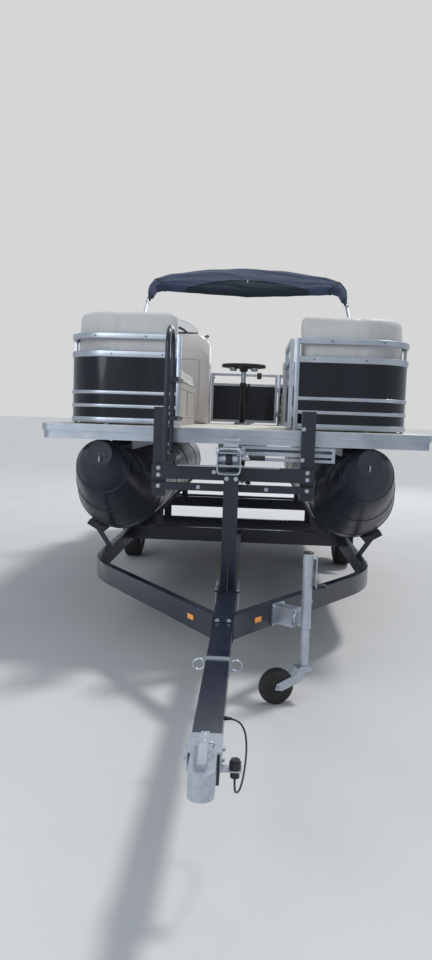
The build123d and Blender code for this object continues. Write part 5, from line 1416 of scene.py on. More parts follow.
def add_winch():
    x_mid, y_mid, z_mid = -0.017, -0.375, 1.311
    wound = []
    for k in range(9):
        ring = [at(x_mid - 0.018 + 0.0045 * k, y_mid + 0.0405 * math.cos(a), z_mid + 0.0405 * math.sin(a))
                for a in turns(40)]
        wound.append(pipe(ring, 0.0028, 6, closed=True))
    strap = []
    for y, z in ((-0.331, 1.333), (-0.20, 1.3345), (-0.076, 1.335)):
        x0, x1 = x_mid - 0.024, x_mid + 0.024
        strap.append([at(x0, y, z), at(x1, y, z), at(x1, y, z + 0.002), at(x0, y, z + 0.002)])
    piece("winch_strap", *add_up(*wound, skin(strap)), "strap_webbing", smooth=False)
    gear = [gear_ring(x, y_mid, z_mid, 0.052, 0.004, 40) for x in (x_mid + 0.052, x_mid + 0.060)]
    pinion = [gear_ring(x, y_mid - 0.058, 1.348, 0.013, 0.003, 12) for x in (x_mid + 0.052, x_mid + 0.062)]
    piece("winch_gears", *add_up(skin(gear), skin(pinion)), "zinc", smooth=False)
    grip = turned([(0, 0.0133), (0.002, 0.0165), (0.010, 0.0178), (0.03, 0.0160), (0.055, 0.0172),
                   (0.085, 0.0162), (0.098, 0.0175), (0.104, 0.0160), (0.1062, 0.008), (0.1062, 0)],
                  at(0.0985, -0.189, 1.311), (1, 0, 0), 28)
    piece("winch_grip", *grip, "pad_rubber")
    nuts = [at(x_mid + s * 0.0722, y, z) for s in (-1, 1)
            for y, z in ((-0.433, 1.348), (-0.433, 1.270), (-0.327, 1.348))]
    ways = [Vector((s, 0, 0)) for s in (-1, 1) for _ in range(3)]
    nuts.append(at(0.0990, -0.375, 1.311))
    ways.append(Vector((1, 0, 0)))
    BOLTS.grow("winch_nuts", nuts, ways, "zinc", Head=0.0085, Height=0.007, Washer=0.0115)
    lips = []
    for side in (-1, 1):
        lips.append(pipe([at(x_mid + side * 0.0715, -0.445, 1.372), at(x_mid + side * 0.079, -0.446, 1.380),
                          at(x_mid + side * 0.086, -0.446, 1.381)], 0.003, 8))
    edge = [at(x_mid + 0.0695 * bowed(math.cos(a), 0.35), -0.4455, 1.2955 + 0.0760 * bowed(math.sin(a), 0.35))
            for a in turns(60)]
    lips.append(pipe(edge, 0.0042, 8, closed=True))
    piece("winch_edge", *add_up(*lips), "zinc")


# Helm: softened console, gauges, switches, engine control, door seams, vent and the steering wheel
COLUMN = Vector((0, 0.200, 0.190)).normalized()     # way the steering column points
DASH = at(-0.745, 2.885, DECK + 0.820)              # where the column leaves the dash
CONSOLE_SIDE = ((2.600, 0.0), (2.600, 0.740), (2.688, 0.920), (2.790, 0.920), (2.980, 0.720), (2.980, 0.560),
                (2.890, 0.500), (2.890, 0.0))
SHOULDER = 0.14        # width over which the console's inner top corner rounds off
SHOULDER_DROP = 0.11   # how far the top falls at the inner end


def oblong(centre, along, up, across, heights):
    """Corners of an oblong between two places along one direction and two along another."""
    (x0, x1), (z0, z1) = across, heights
    return [centre + along * x + up * z for x, z in ((x0, z0), (x1, z0), (x1, z1), (x0, z1))]


def round_shoulder(made, end):
    """Lets the console's top fall away towards its inner end."""
    built = bmesh.new()
    built.from_mesh(made.data)
    for share in (0.34, 0.46, 0.6, 0.78, 1.0):
        everything = built.verts[:] + built.edges[:] + built.faces[:]
        bmesh.ops.bisect_plane(built, geom=everything, plane_co=(end - SHOULDER * share, 0, 0),
                               plane_no=(1, 0, 0))
    for vert in built.verts:
        near = 1 - min(SHOULDER, max(0.0, end - vert.co.x)) / SHOULDER
        above = max(0.0, vert.co.z - DECK - 0.500) / 0.420
        vert.co.z -= SHOULDER_DROP * near ** 2 * above
    built.to_mesh(made.data)
    built.free()
    shade_by_angle(made, 40)


def add_helm():
    lo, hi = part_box("helm_console")
    shell = slab([at(lo.x, y, DECK + z) for y, z in CONSOLE_SIDE], (0, 0, 0), (hi.x - lo.x, 0, 0))
    body = piece("console_shell", *shell, "console_shell", smooth=False)
    softened(body, 0.040, 5, 25)
    round_shoulder(body, hi.x)
    column = turned([(-0.004, 0.045), (0.004, 0.044), (0.010, 0.032), (0.050, 0.0265), (0.0625, 0.0262),
                     (0.0625, 0.0)], DASH, COLUMN, 32)
    piece("steering_column", *column, "black_plastic")
    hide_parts("helm_console")

    along = Vector((1, 0, 0))
    up = along.cross(COLUMN) * -1
    plate = oblong(DASH, along, up, (-0.33, 0.30), (-0.105, 0.105))
    panel = piece("dash_panel", *slab(plate, COLUMN * -0.020, COLUMN * 0.005), "black_plastic", smooth=False)
    softened(panel, 0.003, 2)

    rings, dials, hands, domes = [], [], [], []
    for x, z, r in ((-0.245, 0.045, 0.042), (-0.245, -0.052, 0.030), (0.245, 0.045, 0.042),
                    (0.17, -0.055, 0.026), (0.245, -0.055, 0.026)):
        centre = DASH + along * x + up * z + COLUMN * 0.005
        rings.append(turned([(0, r), (0.008, r), (0.010, r * 0.96), (0.010, r * 0.88), (0.004, r * 0.84),
                             (0.0, r * 0.84)], centre, COLUMN, 36))
        dials.append(turned([(0.0005, r * 0.86), (0.0035, r * 0.86), (0.0035, 0.0)], centre, COLUMN, 32))
        for k in range(11):
            a = math.radians(225 - 27 * k)
            way = along * math.cos(a) + up * math.sin(a)
            hands.append(pipe([centre + COLUMN * 0.0042 + way * r * 0.66,
                               centre + COLUMN * 0.0042 + way * r * 0.8], 0.0008, 5))
        a = math.radians(200)
        way = along * math.cos(a) + up * math.sin(a)
        hands.append(pipe([centre + COLUMN * 0.0048 - way * r * 0.15,
                           centre + COLUMN * 0.0048 + way * r * 0.7], 0.001, 5))
        hands.append(turned([(0.0035, r * 0.10), (0.0065, r * 0.09), (0.007, 0.0)], centre, COLUMN, 12))
        domes.append(turned([(0.0078, r * 0.87), (0.0088, r * 0.7), (0.0096, r * 0.3), (0.0098, 0.0)], centre,
                            COLUMN, 28))
    piece("gauge_rims", *add_up(*rings), "table_metal")
    piece("gauge_dials", *add_up(*dials), "gauge_white")
    piece("gauge_hands", *add_up(*hands), "black_plastic")

    switches = []
    for k in range(6):
        centre = DASH + along * (-0.17 + 0.026 * k) + up * -0.072 + COLUMN * 0.005
        frame_outline = oblong(centre, along, up, (-0.009, 0.009), (-0.016, 0.016))
        rocker_outline = oblong(centre, along, up, (-0.006, 0.006), (-0.012, 0.012))
        switches.append(slab(frame_outline, (0, 0, 0), COLUMN * 0.003))
        switches.append(slab(rocker_outline, COLUMN * 0.003, COLUMN * 0.0075 + up * 0.001))
    rocker = piece("dash_switches", *add_up(*switches), "pad_rubber", smooth=False)
    softened(rocker, 0.0012, 2)

    # engine control at the dash's inner end, with its lever
    seat = DASH + along * 0.345 - up * 0.045
    housing = oblong(seat, along, up, (-0.024, 0.018), (-0.06, 0.06))
    control = piece("throttle_housing", *slab(housing, COLUMN * -0.050, COLUMN * 0.022), "black_plastic",
                    smooth=False)
    softened(control, 0.007, 3)
    pivot = seat + COLUMN * 0.022
    stem = [pivot, pivot + COLUMN * 0.03 - up * 0.004, pivot + COLUMN * 0.062 - up * 0.012]
    lever = pipe(smooth_line(stem, 4), 0.0075, 12)
    knob = turned([(-0.004, 0.0), (-0.003, 0.010), (0.006, 0.0135), (0.020, 0.0135), (0.028, 0.009),
                   (0.030, 0.0)],
                  pivot + COLUMN * 0.058 - up * 0.012, along, 24)
    piece("throttle_lever", *add_up(lever, knob), "black_plastic")

    # door seams on the console's front and inner faces, and its vent
    front = [at(x, 2.5995, DECK + z) for x, z in ((-1.06, 0.10), (-0.44, 0.10), (-0.44, 0.65), (-1.06, 0.65))]
    inner = [at(hi.x + 0.0005, y, DECK + z)
             for y, z in ((2.66, 0.09), (2.84, 0.09), (2.84, 0.46), (2.66, 0.46))]
    seams = add_up(pipe(round_corners(front, 0.05), 0.004, 6, closed=True),
                   pipe(round_corners(inner, 0.03), 0.0035, 6, closed=True))
    piece("console_door_seams", *seams, "seat_base")
    louvres = []
    for k in range(6):
        z = DECK + 0.20 + 0.022 * k
        louvres.append(pipe([at(hi.x + 0.0015, 2.69, z), at(hi.x + 0.0015, 2.81, z)], 0.0042, 6))
    piece("console_vent", *add_up(*louvres), "black_plastic")


def round_corners(points, radius, steps=6):
    n = len(points)
    line = []
    for i in range(n):
        a, b, c = points[i - 1], points[i], points[(i + 1) % n]
        start, end = b + (a - b).normalized() * radius, b + (c - b).normalized() * radius
        for k in range(steps + 1):
            t = k / steps
            line.append((1 - t) ** 2 * start + 2 * t * (1 - t) * b + t * t * end)
    return line


def add_steering_wheel():
    axis = COLUMN
    hub = DASH + axis * 0.090
    side = Vector((1, 0, 0))
    up = axis.cross(side)
    rim = [hub + (side * math.cos(a) + up * math.sin(a)) * 0.165 for a in turns(96)]
    swells = [0.0131 + 0.0009 * (1 if math.sin(9 * a) > 0.2 else 0) for a in turns(96)]
    wheel = pipe(rim, swells, 14, closed=True)
    spokes = []
    for degrees in (90, 210, 330):
        a = math.radians(degrees)
        way = side * math.cos(a) + up * math.sin(a)
        across = axis.cross(way)
        rows = []
        for t, w, h in ((0.030, 0.022, 0.010), (0.060, 0.016, 0.008), (0.100, 0.0135, 0.007),
                        (0.135, 0.0150, 0.007), (0.158, 0.019, 0.008)):
            centre = hub + way * t - axis * (0.004 + 0.010 * (1 - t / 0.158))
            rows.append([centre + across * (w * math.cos(b)) + axis * (h * math.sin(b)) for b in turns(16)])
        spokes.append(skin(rows))
    centre_pad = turned([(-0.0265, 0.020), (-0.0265, 0.037), (-0.004, 0.0378), (0.003, 0.036),
                         (0.0065, 0.028), (0.0068, 0.0)], hub, axis, 40)
    made = piece("wheel_rim", *add_up(wheel, *spokes, centre_pad), "black_plastic", "helm_wheel")
    shade_by_angle(made, 50)
    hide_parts("steering_wheel")
    badge = turned([(0.0066, 0.022), (0.0076, 0.021), (0.0078, 0.0)], hub, axis, 32)
    piece("wheel_centre_ring", *badge, "table_metal", "helm_wheel")


add_winch()
add_helm()
add_steering_wheel()


# Fence: rails that stand proud of glossy panels, with the posts behind the panels, and their screws
FENCE_X, FENCE_FRONT, FENCE_REAR, FENCE_CORNER = 1.215, 0.325, 4.550, 0.300
RAILS = ((0.030, 0.040), (0.130, 0.026), (0.225, 0.026), (0.495, 0.045), (0.620, 0.040))
RAIL_HALF = 0.015


def fence_path(out, start=0.427, end=0.460, step=0.15):
    """Plan line of the port fence, moved outwards, from the bow gate round to the stern gate."""
    x, front, rear, r = FENCE_X + out, FENCE_FRONT - out, FENCE_REAR + out, FENCE_CORNER + out
    line = [Vector((start, front))]
    line += [Vector((start + (x - r - start) * k / 4, front)) for k in range(1, 5)]
    corner = [math.pi / 2 * k / 14 for k in range(15)]
    line += [Vector((x - r + r * math.sin(a), front + r - r * math.cos(a))) for a in corner[1:]]
    count = int((rear - front - 2 * r) / step)
    line += [Vector((x, front + r + (rear - front - 2 * r) * k / count)) for k in range(1, count)]
    line += [Vector((x - r + r * math.cos(a), rear - r + r * math.sin(a))) for a in corner]
    line += [Vector((x - r + (end - x + r) * k / 4, rear)) for k in range(1, 5)]
    return line


def rail_section(height, crown=0.005):
    """Rounded box section, as (out, up) pairs."""
    half, tall = RAIL_HALF, height / 2
    points = []
    for sx, sz, turn in ((1, 1, 0), (-1, 1, 90), (-1, -1, 180), (1, -1, 270)):
        for k in range(4):
            a = math.radians(turn + 30 * k)
            points.append((sx * (half - crown) + crown * math.cos(a),
                           sz * (tall - crown) + crown * math.sin(a)))
    return points


def add_fence():
    shapes = []
    for middle, height in RAILS:
        section = rail_section(height)
        lines = [fence_path(out) for out, _ in section]
        rings = [[at(line[i].x, line[i].y, DECK + middle + up) for line, (_, up) in zip(lines, section)]
                 for i in range(len(lines[0]))]
        shapes.append(skin(rings))
    rows = []
    outer, inner = fence_path(0.007), fence_path(0.004)
    for i in range(len(outer)):
        rows.append([at(outer[i].x, outer[i].y, DECK + 0.025), at(outer[i].x, outer[i].y, DECK + 0.497),
                     at(inner[i].x, inner[i].y, DECK + 0.497), at(inner[i].x, inner[i].y, DECK + 0.025)])
    strip = skin(rows)

    def post(x, y):
        return brick(at(x[0], y[0], DECK), at(x[1], y[1], RAIL_TOP - 0.001))

    uprights = [post((0.397, 0.427), (0.310, 0.340)), post((0.430, 0.460), (4.535, 4.565)),
                brick(at(0.900, 0.3215, DECK), at(0.930, 0.339, DECK + 0.50)),
                post((0.900, 0.930), (4.536, 4.5535))]
    for k in range(6):
        y = 0.625 + k * (4.250 - 0.625) / 5
        uprights.append(post((1.201, 1.2185), (y - 0.015, y + 0.015)))
    feet = [brick(at(x - 0.030, y - 0.030, DECK), at(x + 0.030, y + 0.030, DECK + 0.004))
            for x, y in ((0.412, 0.325), (0.445, 4.550))]
    uprights += feet
    both = add_up(*uprights)
    frame_posts = piece("fence_posts", *add_up(both, mirrored(both)), "bare_aluminium", smooth=False)
    softened(frame_posts, 0.0025, 2)
    both = add_up(*shapes)
    rails = piece("fence_tubes", *add_up(both, mirrored(both)), "bare_aluminium")
    shade_by_angle(rails, 50)
    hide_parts("fence_rails")
    panels = piece("fence_skins", *add_up(strip, mirrored(strip)), "panel_black")
    shade_by_angle(panels, 50)
    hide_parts("fence_panels")

    pins = []
    for x, y, heel in ((0.391, 0.345, True), (0.425, 4.530, False)):
        for z in (DECK + 0.110, DECK + 0.420):
            pins.append(turned([(-0.012, 0.004), (0.050, 0.004), (0.052, 0.0062), (0.056, 0.0062),
                                (0.058, 0.003), (0.058, 0.0)], at(x, y, z), (0, 0, 1), 16))
            if heel:
                pins.append(brick(at(x - 0.004, y - 0.004, z - 0.012), at(0.409, y + 0.004, z - 0.005)))
                pins.append(brick(at(0.397, 0.3395, z - 0.012), at(0.409, y + 0.004, z - 0.005)))
            else:
                pins.append(brick(at(x - 0.004, y - 0.004, z - 0.012), at(0.442, 4.5355, z - 0.005)))
    piece("gate_hinge_pins", *add_up(*pins), "bare_aluminium", smooth=False)

    screws, ways = [], []
    for middle, first in ((0.495, 0.10), (0.620, 0.22)):
        path = fence_path(RAIL_HALF + 0.0003)
        run = 0.0
        target = first
        for a, b in zip(path, path[1:]):
            length = (b - a).length
            while run + length > target:
                p = a.lerp(b, (target - run) / length)
                ahead = (b - a).normalized()
                for side in (1, -1):
                    screws.append(at(side * p.x, p.y, DECK + middle))
                    ways.append(Vector((side * ahead.y, -ahead.x, 0)))
                target += 0.36
            run += length
    SCREWS.grow("rail_screws", screws, ways, "black_plastic", Head=0.0058, Rise=0.35)
    rivets, ways = [], []
    for side in (1, -1):
        for middle, _ in RAILS[:4]:
            rivets.append(at(side * 0.412, 0.3097, DECK + middle))
            ways.append(Vector((0, -1, 0)))
    SCREWS.grow("post_rivets", rivets, ways, "bare_aluminium", Head=0.0045, Rise=0.45)

    # the bow gate's slide bolt, and the stern gate's latch, hook and clip
    latch = brick(at(0.3640, 1.090, DECK + 0.455), at(0.3885, 1.128, DECK + 0.505))
    bolt = pipe([at(0.376, 1.078, DECK + 0.480), at(0.376, 1.127, DECK + 0.480)], 0.0055, 12)
    knob = pipe([at(0.376, 1.105, DECK + 0.480), at(0.356, 1.105, DECK + 0.480)], 0.004, 10)
    stern = brick(at(-0.425, 4.5275, DECK + 0.560), at(-0.380, 4.5355, DECK + 0.600))
    hook = pipe([at(-0.392, 4.524, DECK + 0.580), at(-0.392, 4.515, DECK + 0.580),
                 at(-0.440, 4.514, DECK + 0.580), at(-0.452, 4.520, DECK + 0.580)], 0.0035, 8)
    softened(piece("gate_latch", *latch, "zinc", "bow_gate", smooth=False), 0.002)
    piece("gate_latch_bolt", *add_up(bolt, knob), "zinc", "bow_gate")
    clip = brick(at(0.155, 4.5020, DECK + 0.572), at(0.212, 4.5362, DECK + 0.652))
    softened(piece("stern_rail_clip", *clip, "black_plastic", "stern_gate", smooth=False), 0.008, 3)
    softened(piece("stern_latch", *stern, "zinc", "stern_gate", smooth=False), 0.002)
    piece("stern_latch_hook", *hook, "zinc", "stern_gate")


add_fence()


# Deck: beads along the trim's face, cleats, and a bright strip on the winch beam's top that is a painted
# highlight of its sunlit top face
def add_deck_fittings():
    beads = []
    for down, out in ((0.012, 0.0), (0.0225, 0.0), (0.0335, 0.0), (0.058, -0.010), (0.072, -0.010),
                      (0.086, -0.010)):
        z = DECK - down
        x, y0, y1, r = HALF_BEAM + out - 0.0002, -out + 0.0002, 5.250 + out - 0.0002, 0.060 + out
        corners = [Vector((x, y0)), Vector((x, y1)), Vector((-x, y1)), Vector((-x, y0))]
        line = []
        for i in range(4):
            b = corners[i]
            a, c = corners[i - 1], corners[(i + 1) % 4]
            centre = b + (a - b).normalized() * r + (c - b).normalized() * r
            start = b + (a - b).normalized() * r - centre
            for k in range(9):
                t = k / 8 * math.pi / 2
                line.append(centre + start * math.cos(t) + ((b - centre) - start) * math.sin(t))
        beads.append(pipe([at(p.x, p.y, z) for p in line], 0.0016, 6, closed=True))
    piece("trim_beads", *add_up(*beads), "bare_aluminium")

    cleats = []
    swell = (0.004, 0.0055, 0.0065, 0.0075, 0.008, 0.0085, 0.0088, 0.009, 0.009, 0.009)
    for side in (-1, 1):
        for y in (2.55, 5.06):
            x = side * (HALF_BEAM - 0.055)
            for dy in (-0.032, 0.032):
                cleats.append(turned([(0.0, 0.015), (0.004, 0.013), (0.012, 0.008), (0.030, 0.0075),
                                      (0.036, 0.009)], at(x, y + dy, DECK + 0.0002), (0, 0, 1), 16))
            horns = [at(x, y + dy, DECK + rise) for dy, rise in
                     ((-0.100, 0.044), (-0.06, 0.040), (0, 0.038), (0.06, 0.040), (0.100, 0.044))]
            cleats.append(pipe(smooth_line(horns, 5), [*swell, 0.009, *reversed(swell)], 12))
    piece("deck_cleats", *add_up(*cleats), "zinc")
    # bright strip over the black beam's top: painted highlight where the sun glares on the top face
    lit_top_strip = brick(at(-0.36, -0.1262, 1.2405), at(0.30, -0.0742, 1.2465))
    piece("beam_top_highlight", *lit_top_strip, "bare_aluminium", smooth=False)


add_deck_fittings()


# Windscreen, table, door seams of the lounge bases, lamp lenses, reflectors and the helm chair's shell
def add_screen():
    lo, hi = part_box("windscreen")
    middle, half = (lo.x + hi.x) / 2, (hi.x - lo.x) / 2
    bulge = 0.06                         # how far the glass bows forward at its middle
    radius = (half ** 2 + bulge ** 2) / (2 * bulge)
    inner_end = hi.x - middle - 0.105    # stops short of the console's rounded shoulder
    outer_end = lo.x - middle + 0.002
    rings = []
    for k in range(37):
        t = -1 + k / 18
        x = (inner_end + outer_end) / 2 + (inner_end - outer_end) / 2 * t
        y = lo.y + 0.0006 + radius - math.sqrt(radius ** 2 - x * x)
        tall = 0.146 * max(0.03, 1 - abs(t) ** 2.1) ** 0.5
        rings.append([Vector((middle + x, y, lo.z + 0.0005)), Vector((middle + x, y + 0.004, lo.z + 0.0005)),
                      Vector((middle + x, y + 0.004, lo.z + tall)), Vector((middle + x, y, lo.z + tall))])
    screen = piece("screen_panel", *skin(rings), "clear_screen")
    shade_by_angle(screen, 40)
    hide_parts("windscreen")
    top = [(r[2] + r[3]) / 2 for r in rings]
    low = [(r[0] + r[1]) / 2 + Vector((0, 0, 0.004)) for r in rings]
    piece("screen_edge", *pipe([low[0], *top, low[-1]], 0.0036, 8), "seat_piping")
    piece("screen_gasket", *pipe(low, 0.0075, 8), "pad_rubber")
    clips = [low[k] + Vector((0, -0.0065, 0.012)) for k in (4, 14, 22, 32)]
    SCREWS.grow("screen_screws", clips, [Vector((0, -1, 0))] * 4, "zinc", Head=0.0055, Rise=0.5)


def add_table():
    centre = at(0, 3.300, 0)
    lo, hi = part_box("table_top")
    cups = [centre + Vector((0.165 * math.cos(a), 0.165 * math.sin(a), 0))
            for a in (math.radians(degrees) for degrees in (45, 135, 225, 315))]
    well = ((0, 0.0395), (0.0004, 0.0440), (0.003, 0.0440), (0.003, 0.0380), (-0.022, 0.0372),
            (-0.055, 0.0355), (-0.0585, 0.0330), (-0.0585, 0.0), (-0.0615, 0.0), (-0.0615, 0.0350),
            (-0.056, 0.0380), (-0.022, 0.0395))
    wells = [turned([(hi.z + rise, r) for rise, r in well], (c.x, c.y, 0), (0, 0, 1), 40) for c in cups]
    piece("cup_wells", *add_up(*wells), "table_metal")
    edge = [Vector((centre.x + 0.2405 * math.cos(a), centre.y + 0.2405 * math.sin(a), (lo.z + hi.z) / 2))
            for a in turns(96)]
    lower = [Vector((centre.x + (p.x - centre.x) * 0.992, centre.y + (p.y - centre.y) * 0.992, lo.z + 0.004))
             for p in edge]
    edges = add_up(pipe(edge, 0.0042, 8, closed=True), pipe(lower, 0.004, 8, closed=True))
    piece("table_edge", *edges, "pad_rubber")
    socket = turned([(0, 0.100), (-0.006, 0.100), (-0.010, 0.090), (-0.014, 0.052), (-0.048, 0.036),
                     (-0.052, 0.030), (-0.052, 0.0265)], (centre.x, centre.y, lo.z), (0, 0, 1), 40)
    low_tube = turned([(0.012, 0.0306), (0.425, 0.0306), (0.426, 0.037), (0.4555, 0.037), (0.461, 0.033),
                       (0.461, 0.0264)], (centre.x, centre.y, DECK), (0, 0, 1), 36)
    foot = turned([(0.0141, 0.0905), (0.016, 0.088), (0.020, 0.070), (0.030, 0.045), (0.034, 0.0315)],
                  (centre.x, centre.y, DECK), (0, 0, 1), 48)
    knob = turned([(0, 0.006), (0.020, 0.006), (0.020, 0.016), (0.034, 0.017), (0.040, 0.013), (0.041, 0.0)],
                  (centre.x + 0.036, centre.y, DECK + 0.440), (1, 0, 0), 20)
    piece("table_fittings", *add_up(socket, low_tube, foot, knob), "black_plastic")
    heads = [Vector((centre.x + 0.078 * math.cos(a), centre.y + 0.078 * math.sin(a), DECK + 0.0185))
             for a in turns(6)]
    SCREWS.grow("table_foot_screws", heads, [Vector((0, 0, 1))] * 6, "zinc", Head=0.0062, Rise=0.45)


def add_bases():
    """Door seams on the lounge bases."""
    lines = []
    low, high = DECK + 0.07, DECK + 0.285
    for x, y0, y1 in ((-0.4295, 0.44, 1.20), (-0.4295, 1.26, 1.98),
                      (0.4295, 0.44, 1.20), (0.4295, 1.26, 1.98), (0.4695, 3.42, 4.40)):
        corners = [at(x, y0, low), at(x, y1, low), at(x, y1, high), at(x, y0, high)]
        lines.append(pipe(round_corners(corners, 0.03), 0.0035, 6, closed=True))
    piece("base_door_seams", *add_up(*lines), "seat_base")


def add_lamps():
    lenses, frames, ambers = [], [], []
    lo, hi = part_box("tail_lamps")
    for side in (-1, 1):
        x0, x1 = sorted((side * 1.020, side * 1.160))
        y = hi.y
        lens = brick((x0 + 0.006, y - 0.006, lo.z + 0.006), (x1 - 0.006, y + 0.010, hi.z - 0.006))
        lenses.append(lens)
        clear = brick((x0 + 0.045, y + 0.004, lo.z + 0.010), (x1 - 0.045, y + 0.0115, lo.z + 0.030))
        frames.append(clear)
    red = piece("tail_lenses", *add_up(*lenses), "lamp_red", smooth=False)
    softened(red, 0.006, 3)
    white = piece("reverse_lenses", *add_up(*frames), "lamp_clear", smooth=False)
    softened(white, 0.002, 2)
    # one amber reflector on the outer face of each wing of the frame
    spot = at(0.060, -1.000, 0.0) + WING_AHEAD * 0.18 + WING_OUT * 0.025
    for side in (-1, 1):
        corners = []
        for along, up in ((-0.03, -0.014), (0.03, -0.014), (0.03, 0.014), (-0.03, 0.014)):
            p = spot + WING_AHEAD * along
            corners.append(Vector((p.x * side, p.y, 0.4615 + up)))
        out = Vector((WING_OUT.x * side, WING_OUT.y, 0)) * 0.006
        ambers.append(slab(corners, -out * 0.05, out))
    amber = piece("wing_reflectors", *add_up(*ambers), "lamp_amber", smooth=False)
    softened(amber, 0.002, 2)


def add_chair_shell():
    """Moulded shell behind the helm chair's back with its seam and screws, and the pan under its seat."""
    lo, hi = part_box("helm_seat_frame")
    middle = (lo.x + hi.x) / 2
    pan_top = lo.z + 0.040
    wide, tall = (hi.x - lo.x) / 2 - 0.002, hi.z - 0.006
    front, rear = hi.y - 0.030, hi.y - 0.0015
    corners = ((-0.93, lo.z + 0.002), (0.93, lo.z + 0.002), (1.0, lo.z + 0.20), (1.0, tall - 0.10),
               (0.66, tall), (-0.66, tall), (-1.0, tall - 0.10), (-1.0, lo.z + 0.20))
    outline = round_corners([Vector((middle + wide * share, 0, z)) for share, z in corners], 0.045)
    shell = slab(outline, (0, front, 0), (0, rear, 0))
    back = piece("chair_back_shell", *shell, "seat_base", "helm_chair", smooth=False)
    softened(back, 0.009, 4)
    pan_shape = brick((lo.x + 0.010, lo.y + 0.001, lo.z + 0.001),
                      (hi.x - 0.010, front + 0.002, pan_top - 0.001))
    pan = piece("chair_pan", *pan_shape, "seat_base", "helm_chair", smooth=False)
    softened(pan, 0.010, 4)
    for made in (back, pan):
        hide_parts("helm_seat_frame")
    corners = ((-0.74, lo.z + 0.14), (0.74, lo.z + 0.14), (0.74, tall - 0.11), (0.50, tall - 0.055),
               (-0.50, tall - 0.055), (-0.74, tall - 0.11))
    seam = round_corners([Vector((middle + wide * share, rear + 0.0006, z)) for share, z in corners], 0.03)
    piece("chair_back_seam", *pipe(seam, 0.0022, 6, closed=True), "seat_piping", "helm_chair")
    heads = [Vector((middle + a * wide * 0.80, rear + 0.0002, z)) for a in (-1, 1)
             for z in (lo.z + 0.075, lo.z + 0.115)]
    SCREWS.grow("chair_shell_screws", heads, [Vector((0, 1, 0))] * 4, "zinc", "helm_chair", Head=0.0065,
                Rise=0.45)


add_screen()
add_table()
add_bases()
add_chair_shell()
add_lamps()


# Fender lips, tread ribs of both ladders, and the bolts and pins of the clamps, coupler and axle
def add_small():
    lips = []
    half = [(0.090, 0.640), (0.170, 0.636), (0.240, 0.616), (0.300, 0.585), (0.352, 0.541), (0.395, 0.480),
            (0.440, 0.415)]
    line = [(-y, z) for y, z in reversed(half)] + half
    for side in (-1, 1):
        for x in (1.0505, 1.2495):
            lips.append(pipe([at(side * x, AXLE_Y + y, z - 0.004) for y, z in line], 0.0055, 8))
    piece("fender_lips", *add_up(*lips), "trailer_black")

    ribs = []
    for z in (1.290, 1.530, 1.770):
        for k in range(7):
            x = -0.404 + 0.0095 * k
            ribs.append(pipe([at(x, -0.345, z + 0.0255), at(x, -0.085, z + 0.0255)], 0.0022, 6))
    piece("tread_ribs", *add_up(*ribs), "pad_rubber")

    stow = []
    ladder_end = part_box("bow_ladder")[1].y - BOW
    for k in range(4):
        y = 0.034 + 0.006 + k * (ladder_end - 0.034 - 0.020 - 0.060) / 3
        for j in range(5):
            along = y + 0.010 + 0.010 * j
            stow.append(pipe([at(0.080, along, 1.3388), at(0.645, along, 1.3388)], 0.0018, 6))
    piece("bow_tread_ribs", *add_up(*stow), "bare_aluminium")

    clamps, ways = [], []
    for z in (1.345, 1.545):
        for dz in (-0.028, 0.028):
            clamps.append(at(-0.428, -0.0735, z + dz))
            ways.append(Vector((0, -1, 0)))
    BOLTS.grow("ladder_clamp_bolts", clamps, ways, "zinc", Head=0.0075, Height=0.006, Washer=0.0105)

    latches = [at(0.0, -2.720 + y, 0.510 + 0.0385) for y in (0.150, 0.200)]
    SCREWS.grow("coupler_latch_rivets", latches, [Vector((0, 0, 1))] * 2, "zinc", Head=0.006, Rise=0.5)
    pin = pipe([at(-0.020, -2.640, 0.522), at(0.020, -2.640, 0.522)], 0.005, 12)
    lock = pipe([at(-0.024, -2.560, 0.538), at(0.026, -2.560, 0.538), at(0.032, -2.560, 0.534),
                 at(0.030, -2.555, 0.520)], 0.0035, 8)
    nut = turned([(0, 0.016), (0.010, 0.016), (0.010, 0.009), (0.020, 0.0085), (0.022, 0.0)],
                 at(0, -2.668, 0.5102), (0, 0, 1), 6)
    piece("coupler_latch_pins", *add_up(pin, lock, nut), "zinc")

    nuts, out = [], []
    for side in (-1, 1):
        for y in (2.985, 3.015):
            nuts.append(at(side * 1.0292, y, 0.368))
            out.append(Vector((side, 0, 0)))
    BOLTS.grow("axle_arm_bolts", nuts, out, "zinc", Head=0.010, Height=0.008, Washer=0.0135)


add_small()


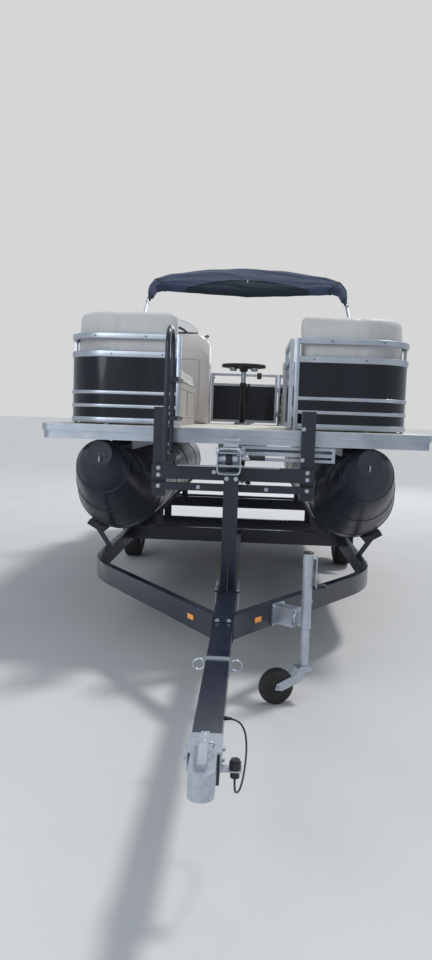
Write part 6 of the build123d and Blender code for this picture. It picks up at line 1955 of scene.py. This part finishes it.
# Floor and light
def add_stage():
    bpy.ops.mesh.primitive_plane_add(size=400, location=(0, 0, 0))
    floor = bpy.context.object
    floor.name = "floor"
    finish = Finish("floor_pale", (186, 187, 189), 0.92)
    finish.tint(finish.noise(1.5, low=0.4, high=0.8), (181, 182, 184))
    floor.data.materials.append(finish.material)

    world = bpy.data.worlds.new("studio")
    bpy.context.scene.world = world
    world.use_nodes = True
    tree = world.node_tree
    background = tree.nodes["Background"]
    background.inputs["Color"].default_value = (0.86, 0.93, 1.0, 1)
    background.inputs["Strength"].default_value = 0.6
    seen = tree.nodes.new("ShaderNodeBackground")
    seen.inputs["Color"].default_value = linear(214, 214, 214)
    mix = tree.nodes.new("ShaderNodeMixShader")
    path = tree.nodes.new("ShaderNodeLightPath")
    either = tree.nodes.new("ShaderNodeMath")
    either.operation = "MAXIMUM"
    tree.links.new(path.outputs["Is Camera Ray"], either.inputs[0])
    tree.links.new(path.outputs["Is Transmission Ray"], either.inputs[1])
    tree.links.new(either.outputs[0], mix.inputs[0])
    tree.links.new(background.outputs[0], mix.inputs[1])
    tree.links.new(seen.outputs[0], mix.inputs[2])
    tree.links.new(mix.outputs[0], tree.nodes["World Output"].inputs["Surface"])

    def softbox(name, place, target, size, power, colour=(1, 1, 1)):
        light = bpy.data.lights.new(name, "AREA")
        light.shape, light.size, light.energy, light.color = "DISK", size, power, colour
        lamp = bpy.data.objects.new(name, light)
        lamp.location = place
        lamp.rotation_euler = (Vector(target) - Vector(place)).to_track_quat("-Z", "Y").to_euler()
        bpy.context.collection.objects.link(lamp)

    sun = bpy.data.lights.new("sun", "SUN")
    sun.energy, sun.angle, sun.color = 2.1, math.radians(9), (1.0, 0.97, 0.93)
    lamp = bpy.data.objects.new("sun", sun)
    lamp.rotation_euler = Vector((-3.0, -2.2, -6.5)).to_track_quat("-Z", "Y").to_euler()
    bpy.context.collection.objects.link(lamp)
    softbox("front_light", (-5.0, -9.5, 5.0), (0, -1.5, 1.0), 6.0, 330, (0.9, 0.95, 1.0))
    softbox("rear_light", (2.0, 10.0, 5.5), (0, 2.0, 1.2), 6.0, 220, (1, 1, 1))


add_stage()
scene = bpy.context.scene
scene.view_settings.view_transform = "Standard"
